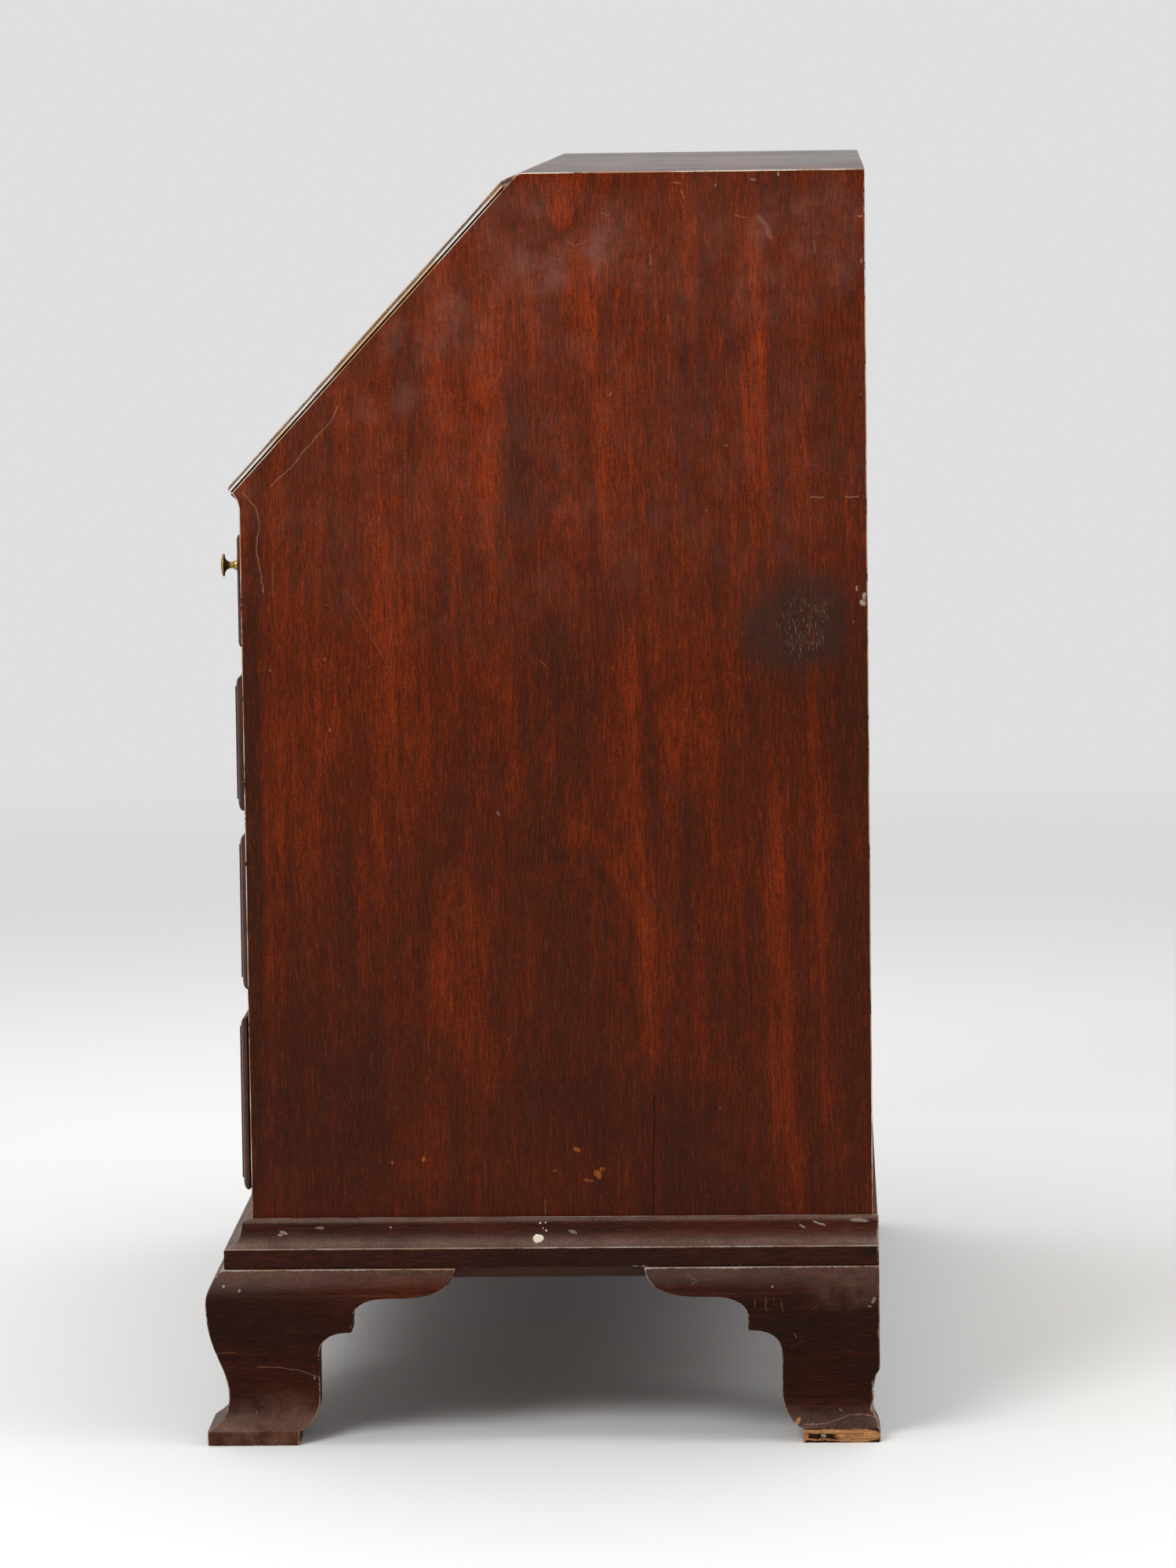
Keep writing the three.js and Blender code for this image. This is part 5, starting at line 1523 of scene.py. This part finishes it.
@dataclass
class Lopers:
    """The two slides that hold the open lid, each with a proud lip and a brass knob."""

    thick: float = 22.0
    lip: float = 4.0
    play: float = 0.8
    ease: float = 0.6
    knob: tuple[float, float, float] = (4.2, 2.7, 9.7)

    def bar(self) -> Surface:
        """The right-hand loper: a bar with a lip whose edge is a small thumb mould."""
        low, high = cad_box("loper_right")
        bar_out = SIZES.inner - self.play
        bar_in, face, back, ease = bar_out - self.thick, -low[1], -high[1], self.ease
        z0, z1 = low[2] + 0.05, high[2] - 0.05
        sine, cosine = arc_shares(6)
        wear = np.r_[1, 1, np.zeros(len(sine) - 2)]
        rings = [(bar_in + ease, bar_out - ease, low[2] + ease, high[2] - ease, back, 0),
                 (bar_in, bar_out, z0, z1, back + ease, 0), (bar_in, bar_out, z0, z1, face - self.lip, 0),
                 (low[0] + 0.2, high[0] - 0.2, low[2] + 0.02, high[2] - 0.02, face - self.lip, 0.4)]
        rings += [drawn_in(low, high, i, face - self.lip + 0.9 + h, w)
                  for i, h, w in zip(3 * (1 - cosine), 2.6 * sine, wear)]
        rings += [drawn_in(low, high, 3.1, face - 0.1, 0.8), drawn_in(low, high, 3.4, face, 0.4)]
        return slab(rings, 0.5).mapped(facing_front)

    def knob_surface(self) -> Surface:
        """The right-hand knob, which faces the front."""
        low, high = cad_box("loper_knob_right")
        middle = (low + high) / 2
        spun = turned(knob_profile(*self.knob, high[1] - low[1]), 56)
        return spun.mapped(lambda p: facing_front(p) + (middle[0], high[1], middle[2]))

    def build(self, wood: "Finishes") -> None:
        """Builds and dresses both lopers."""
        bar, knob = self.bar(), self.knob_surface()
        for side, sign in SIDES.items():
            shown = (bar, knob) if sign > 0 else (bar.mirrored(), knob.mirrored())
            body, node = f"loper_{side}", f"loper_knob_{side}"
            add_piece(f"slide_{side}", shown[0], wood.drawer, body, (body,))
            add_piece(f"slide_knob_{side}", shown[1], wood.brass, body, (node,))


@dataclass
class Pull:
    """A bail pull: an outlined plate, two posts and a swinging bail.

    The plate's numbers are its width, height and thickness, and shares are the points of its
    right-hand outline as shares of half its width and half its height.
    """

    spacing: float = 64.0
    plate: tuple[float, float, float] = (86.0, 52.0, 1.6)
    post: float = 4.5
    reach: float = 11.0
    rise: float = 2.0
    drop: float = 27.0
    pin: float = 1.4
    shares: tuple[Point, ...] = (
        (0, 1), (0.18, 0.94), (0.3, 0.66), (0.46, 0.82), (0.62, 0.6), (0.8, 0.62), (0.97, 0.38), (1, 0.06),
        (0.9, -0.22), (0.72, -0.3), (0.56, -0.34), (0.5, -0.62), (0.34, -0.66), (0.16, -0.74), (0, -1))
    bow: tuple[Point, ...] = (
        (1, 0.04), (1, 0), (1.05, -0.3), (0.93, -0.68), (0.62, -0.94), (0.25, -0.99), (0, -1))

    def plate_surface(self) -> Surface:
        """The plate: a smooth outline whose front edge is bevelled by drawing it in a little."""
        half, thick = np.array(self.plate[:2]) / 2, self.plate[2]
        right = np.array(self.shares) * half
        outline = spline(np.concatenate([right, right[-2:0:-1] * (-1, 1)]), 5, closed=True)
        outline = np.clip(outline, -half, half)
        share, out, wear = np.array([(1.0, 0.0, 0.0), (1.0, thick * 0.45, 0.7), (0.985, thick * 0.7, 1.0),
                                     (0.95, thick, 0.2)]).T
        return loft(raised(outline * share[:, None, None], out), wear[:, None])

    def mount(self) -> Surface:
        """The plate with its two posts, each a turned collar, neck and ball."""
        post, thick, top = self.post, self.plate[2], self.reach + self.post
        profile = np.concatenate([
            [(0.0, 0.2), (post + 2.4, 0.2), (post + 2.4, thick + 0.7)],
            curve((post + 1.6, thick + 1.3), (post - 0.9, thick + 1.6), (post - 0.9, thick + 4), 5),
            curve((post - 0.8, thick + 4.6), (post, thick + 5.2), (post, self.reach - 1), 4),
            curve((post, self.reach + 1), (post, top), (0.0, top), 8),
        ])
        posts = [turned(profile, 32).moved(sign * self.spacing / 2, self.rise) for sign in (-1, 1)]
        return joined([self.plate_surface(), *posts])

    def bail(self) -> Surface:
        """The bail: a tube along a smooth curve, a little thicker at its middle, and its pins."""
        leg = self.spacing / 2 + self.post + 0.6 + 2.3
        right = np.array(self.bow) * (leg, self.drop)
        path = spline(np.concatenate([right, right[-2::-1] * (-1, 1)]), 10)
        path = np.column_stack([path, np.zeros(len(path))])
        share = np.abs(path[:, 0]) / leg
        radius = 1.7 + 0.8 * np.exp(-(share / 0.35) ** 2) + 0.5 * np.exp(-(path[:, 1] / 2.5) ** 2)
        ends = np.array([(self.spacing / 2 - 2, 0, 0), (leg, 0, 0)])
        pins = [tube(ends * (sign, 1, 1), self.pin, 12) for sign in (-1, 1)]
        return joined([tube(path, radius, 18), *pins]).moved(0, self.rise, self.reach)


@dataclass
class Drawers:
    """Four lipped, thumb-moulded drawers with their pulls.

    Levels gives each drawer and how far the body of its front stands before the case.
    """

    lip: float = 7.0
    front: float = 15.0
    width: float = 9.0
    edge: float = 1.4
    step: float = 1.2
    levels: dict[str, float] = field(
        default_factory=lambda: {"bottom": 2.6, "lower": 0.3, "upper": 1.2, "top": 0.3})
    tail_depth: float = 3.5
    tail_shares: tuple[float, float] = (0.30, 0.42)
    tall: float = 110.0
    pull: Pull = field(default_factory=Pull)

    def face(self, level: str) -> Surface:
        """A drawer front: its body, the rebated lip, the thumb mould and the raised field."""
        low, high = cad_box(f"drawer_front_{level}")
        box_low, box_high = cad_box(f"drawer_box_{level}")
        out, stand = -low[1], self.levels[level]
        sine, cosine = arc_shares(9)
        shoulder = self.lip - self.step
        body = (box_low[0], box_high[0], low[2] + 0.2, high[2] - (6.0 if level != "top" else 1.4))
        rings = [(*body, -self.front, 0), (*body, stand, 0),
                 (low[0] + 0.35, high[0] - 0.35, low[2] + 0.05, high[2] - 0.35, stand, 0.4)]
        mould = zip(self.width * (1 - cosine), self.edge + (shoulder - self.edge) * sine,
                    np.r_[1, 0.7, np.zeros(len(sine) - 2)])
        profile = [(0, 0.4, 0.9), *mould, (self.width, self.lip - 0.3, 0.5),
                   (self.width + 0.12, self.lip - 0.08, 1), (self.width + 0.5, self.lip, 0.3),
                   (self.width + 4, self.lip, 0)]
        rings += [drawn_in(low, high, i, out - self.lip + h, w) for i, h, w in profile]
        return slab(rings, 0.9).mapped(facing_front)

    def tails(self, level: str) -> Surface:
        """The dovetails at the box's front corners: wedges let into the ends of the front."""
        low, high = cad_box(f"drawer_box_{level}")
        count = 4 if high[2] - low[2] > self.tall else 3
        pitch = (high[2] - low[2]) / count
        narrow, broad = (pitch * share for share in self.tail_shares)
        start, end = self.tail_depth, self.front + 0.4
        wedges = []
        for at in range(count):
            middle = low[2] + (at + 0.5) * pitch
            outline = np.array([(start, middle - broad), (end, middle - narrow), (end, middle + narrow),
                                (start, middle + broad)])
            wedge = eased_prism(outline, high[0] - 6, high[0] + 0.06, 0.05).mapped(along_x)
            wedges += [wedge, wedge.mirrored()]
        return joined(wedges)

    def build(self, wood: "Finishes") -> None:
        """Builds and dresses the four drawers."""
        mount, bail = self.pull.mount(), self.pull.bail()
        for level in self.levels:
            body = f"drawer_{level}"
            node = f"drawer_front_{level}"
            add_piece(f"{body}_face", self.face(level), wood.drawer, body, (node,))
            add_piece(f"{body}_dovetails", self.tails(level), wood.plain_back, body)
            dress(wood.plain_back, f"drawer_box_{level}")
            for side in SIDES:
                low, high = cad_box(f"pull_plate_{level}_{side}")
                where = ((low[0] + high[0]) / 2, high[1], (low[2] + high[2]) / 2)
                for name, surface, on in (("plate", mount, body), ("bail", bail, f"bail_{level}_{side}")):
                    placed = surface.mapped(lambda p, w=where: facing_front(p) + w)
                    node = f"{name}_{level}_{side}"
                    add_piece(node, placed, wood.brass, on, (f"pull_{node}",))


@dataclass
class Gallery:
    """The pigeonholes and small drawers behind the lid."""

    holes: int = 5
    wall: float = 6.0
    front: float = 10.0
    knob: tuple[float, float, float, float] = (3.5, 2.4, 7.0, 12.9)
    knob_room: float = 13.0
    ease: float = 0.6

    def valance(self) -> Surface:
        """The valance: one scalloped arch over each pigeonhole, with a drop between them."""
        low, high = cad_box("gallery_valance")
        pitch = (high[0] - low[0]) / self.holes
        foot, mid, top = low[2], (low[2] + high[2]) / 2, high[2] - (high[2] - low[2]) / 4
        arch = np.concatenate([
            curve((0, foot), (pitch / 8, foot), (pitch / 6, mid), 8),
            curve((pitch / 6, mid), (pitch / 4, top), (pitch / 2, top), 12)[1:],
            curve((pitch / 2, top), (3 * pitch / 4, top), (5 * pitch / 6, mid), 12)[1:],
            curve((5 * pitch / 6, mid), (7 * pitch / 8, foot), (pitch, foot), 8)[1:-1],
        ])
        run = [arch + (low[0] + at * pitch, 0) for at in range(self.holes)]
        outline = np.concatenate([*run, [(high[0], foot), (high[0], high[2]), (low[0], high[2])]])
        return eased_prism(outline, low[1], high[1], 0.5).mapped(along_y)

    def small_drawer(self, node: str) -> Surface:
        """A small drawer: a tray whose rings go up its outside, over its rim and down inside,
        with a turned wooden knob."""
        (x0, _, z0), (x1, back, z1) = cad_box(node)
        face, ease = cad_box(node)[0][1] + self.knob_room, self.ease

        def walls(by: float) -> tuple[float, ...]:
            """The tray's outside from above, drawn in on all four sides."""
            return x0 + by, x1 - by, face + by, back - by

        inner = (x0 + self.wall, x1 - self.wall, face + self.front, back - self.wall)
        rim = (inner[0] - ease, inner[1] + ease, inner[2] - ease, inner[3] + ease)
        rings = [(*walls(ease), z0, 0.5), (*walls(0), z0 + ease, 1), (*walls(0), z0 + 3, 0),
                 (*walls(0), z1 - 3, 0), (*walls(0), z1 - ease, 1), (*walls(ease), z1, 0.6),
                 (*rim, z1, 0.6), (*inner, z1 - ease, 0.6), (*inner, z1 - 3, 0),
                 (*inner, z0 + self.wall, 0)]
        place = ((x0 + x1) / 2, face, (z0 + z1) / 2)
        knob = turned(knob_profile(*self.knob), 40).mapped(lambda p: facing_front(p) + place)
        return joined([slab(rings, 0.5), knob])

    def build(self, wood: "Finishes") -> None:
        """Builds and dresses the gallery."""
        dress(wood.inside, "gallery_partitions")
        add_piece("valance", self.valance(), wood.inside, "case", ("gallery_valance",))
        for name in ("left", "middle", "right"):
            node = f"small_drawer_{name}"
            add_piece(f"{node}_tray", self.small_drawer(node), wood.inside, node, (node,))


@dataclass(frozen=True)
class Finishes:
    """Every finish of the desk, made once."""

    side: Material
    top: Material
    lid: Material
    cleat: Material
    drawer: Material
    front: Material
    upright: Material
    inside: Material
    moulding_front: Material
    moulding_side: Material
    foot: Material
    frame: Material
    plain_across: Material
    plain_back: Material
    brass: Material
    iron: Material

    @classmethod
    def made(cls) -> "Finishes":
        """Makes the materials."""
        up, across, back = Grain.UPRIGHT, Grain.ACROSS, Grain.BACK
        side = Mahogany("side mahogany", up, heart=0.02, fade=0.45, broad=0.5, marks=SIDE_MARKS, shine=0.05,
                        wear_share=1.1, wear="d9c8b4", bare="b08055", haze_and_sheen="97695b")
        plain = replace(side, grain=across, marks=None, fade=0.0, broad=1.0, shine=0.4)
        # The base's grey-white wear colour is partly a painted highlight along the moulding band's upper
        # arris.
        base = Mahogany("front moulding mahogany", across, heart=0.1, wear="a89c93", bare="8f7560",
                        haze_and_sheen="8a7066", shine=0.08, dust_and_top_light=0.45,
                        tones=("1b0b06", "250e07", "321308", "451b0b", "612814"))
        recipes = {
            "side": side,
            # The top's strong grey pale layer (mist_share 0.14, colour 82868a) is a painted reflection of
            # the pale surroundings, seen at a grazing angle.
            "top": replace(plain, name="top mahogany", rough=0.3, shine=0.38, coat=0.05, haze_and_sheen="82868a",
                           mist_share=0.14, tones=("1d0f0a", "28130b", "35190e", "4a2212", "63301a")),
            "lid": replace(plain, name="lid mahogany", heart=0.9, wear_share=0.9),
            # The cleat's near-white wear colour is partly worn bare wood, and partly a painted highlight on
            # the lip's arrises.
            "cleat": Mahogany("cleat mahogany", (math.pi / 2 - SIZES.slant, 0.0, 0.0), heart=0.3,
                              wear_share=1.2, wear="efe6d8", bare="d9ac7c",
                              tones=("200d08", "321309", "43190b", "5a200d", "722a10")),
            "drawer": Mahogany("drawer mahogany", across, heart=0.5, fade=0.2, wear_share=0.5, shine=0.3,
                               tones=("220e08", "30120a", "44180a", "5c200c", "772d10")),
            "front": Mahogany("rail mahogany", across, heart=0.4, fade=0.2),
            "upright": Mahogany("partition mahogany", up, heart=0.4),
            "inside": Mahogany("gallery mahogany", across, heart=0.3, rings=90.0,
                               tones=("4a2415", "5e2b17", "7a381c", "8f4522", "ab5b2e")),
            "moulding_front": base,
            "moulding_side": replace(base, name="side moulding mahogany", grain=back, marks=MOULDING_MARKS),
            "foot": replace(base, name="foot mahogany", grain=back, heart=0.2, bare="9c7a5e", shine=0.06,
                            haze_and_sheen="8c6a58", dust_and_top_light=0.26, marks=FOOT_MARKS),
            "frame": PlainWood("base frame wood", back, ("2c1710", "452519", "5f3323")),
            "plain_across": PlainWood("level softwood", across),
            "plain_back": PlainWood("drawer softwood", back),
            "brass": AgedBrass("aged brass"),
            "iron": AgedBrass("nail iron", "4a4038", "2a211b"),
        }
        return cls(**{name: recipe.material() for name, recipe in recipes.items()})


@dataclass(frozen=True)
class Studio:
    """The photograph's viewpoint, a pale floor that fades into the background, and soft lamps."""

    eye: tuple[float, float, float] = (6.078649617, 0.240100172, 1.170831402)
    right: tuple[float, float, float] = (-0.033801791, 0.999344989, -0.012924114)
    up: tuple[float, float, float] = (-0.109856801, 0.009137976, 0.993905418)
    back: tuple[float, float, float] = (0.993372499, 0.035015585, 0.109475964)
    lens: float = 153.7657
    pale: float = 0.74
    sky: float = 0.46
    floor_sides: int = 64

    def hang(self, name: str, data: bpy.types.ID, right: Point, up: Point, back: Point,
             place: Point) -> Object:
        """Puts a camera or a lamp at a place, by the directions of its right, up and back."""
        pose = np.eye(4)
        pose[:3] = np.stack([right, up, back, place], 1)
        thing = bpy.data.objects.new(name, data)
        thing.matrix_world = Matrix(pose.tolist())
        bpy.context.scene.collection.objects.link(thing)
        return thing

    def camera(self) -> None:
        """Sets the camera."""
        lens = bpy.data.cameras.new("photograph")
        lens.lens, lens.sensor_width, lens.clip_end = self.lens, 36.0, 100.0
        bpy.context.scene.camera = self.hang("photograph", lens, self.right, self.up, self.back, self.eye)

    def lamp(self, name: str, place: Point, aim: Point, size: float, power: float) -> None:
        """Hangs a square soft lamp.

        Args:
            name: The lamp's name.
            place: Where it hangs.
            aim: The point it shines at.
            size: The length of its side in metres.
            power: Its power in watts.
        """
        light = bpy.data.lights.new(name, "AREA")
        light.size, light.energy = size, power
        back = np.array(place, float) - np.array(aim, float)
        back /= np.linalg.norm(back)
        right = np.cross((0, 0, 1), back)
        right /= np.linalg.norm(right)
        self.hang(name, light, right, np.cross(back, right), back, place)

    def floor(self) -> None:
        """Lays a round floor of rings that turns clear towards its rim."""
        sides = self.floor_sides
        radius = np.concatenate([[0.01], np.linspace(0.5, 9.0, 18)])[:, None]
        angle = np.arange(sides) * (2 * math.pi / sides)
        rings = raised(np.stack([radius * np.cos(angle), radius * np.sin(angle)], 2), np.zeros(len(radius)))
        quads = strips(len(radius), sides)[:, [0, 3, 2, 1]]
        mesh = bpy.data.meshes.new("floor")
        mesh.from_pydata(rings.reshape(-1, 3).tolist(), [], quads.tolist() + [list(range(sides))])
        shade = Shade(bpy.data.materials.new("pale floor"))
        x, y, _ = shade.parts(shade.place())
        rim = shade.band((x * x + y * y) ** 0.5, 1.6, 5.0)
        paint = shade.node("BsdfDiffuse", None, {"Color": (0.8, 0.8, 0.79)})
        clear = shade.node("BsdfTransparent")
        blend = shade.node("MixShader", None, {0: rim, 1: paint.outputs[0], 2: clear.outputs[0]})
        shade.node("OutputMaterial", None, {"Surface": blend.outputs[0]})
        mesh.materials.append(shade.owner)
        floor = bpy.data.objects.new("floor", mesh)
        bpy.context.scene.collection.objects.link(floor)

    def world(self) -> None:
        """A pale background for the eye and for reflections, over a plain grey sky that lights."""
        world = bpy.data.worlds.new("studio")
        shade = Shade(world)
        rays = shade.node("LightPath").outputs
        seen = shade.maths("MAXIMUM", rays["Is Camera Ray"], rays["Is Glossy Ray"])
        seen = shade.maths("MAXIMUM", seen, rays["Is Transmission Ray"])
        level = shade.node("MapRange", None, {0: seen, 3: self.sky, 4: self.pale})
        light = shade.node("Background", None, {"Strength": level.outputs[0], "Color": (1, 1, 1)})
        shade.node("OutputWorld", None, {0: light.outputs[0]})
        bpy.context.scene.world = world

    def build(self) -> None:
        """Sets the whole studio."""
        self.camera()
        self.floor()
        self.world()
        self.lamp("key", (3.2, -1.8, 3.3), (0.2, 0.0, 0.7), 1.8, 96)
        self.lamp("fill", (1.0, 3.4, 2.6), (0.0, 0.0, 0.5), 2.0, 30)
        self.lamp("overhead", (-0.4, 0.01, 3.6), (-0.4, 0.0, 0.0), 3.0, 90)
        bpy.context.scene.view_settings.view_transform = "Standard"


def main() -> None:
    """Builds the studio and the desk."""
    logging.basicConfig(level=logging.INFO, format="%(name)s: %(message)s")
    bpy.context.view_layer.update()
    Studio().build()
    wood = Finishes.made()
    for part in (Carcase(), Base(), FallLid(), Lopers(), Drawers(), Gallery()):
        part.build(wood)
        log.info("%s is finished", type(part).__name__)


if __name__ == "__main__":
    main()
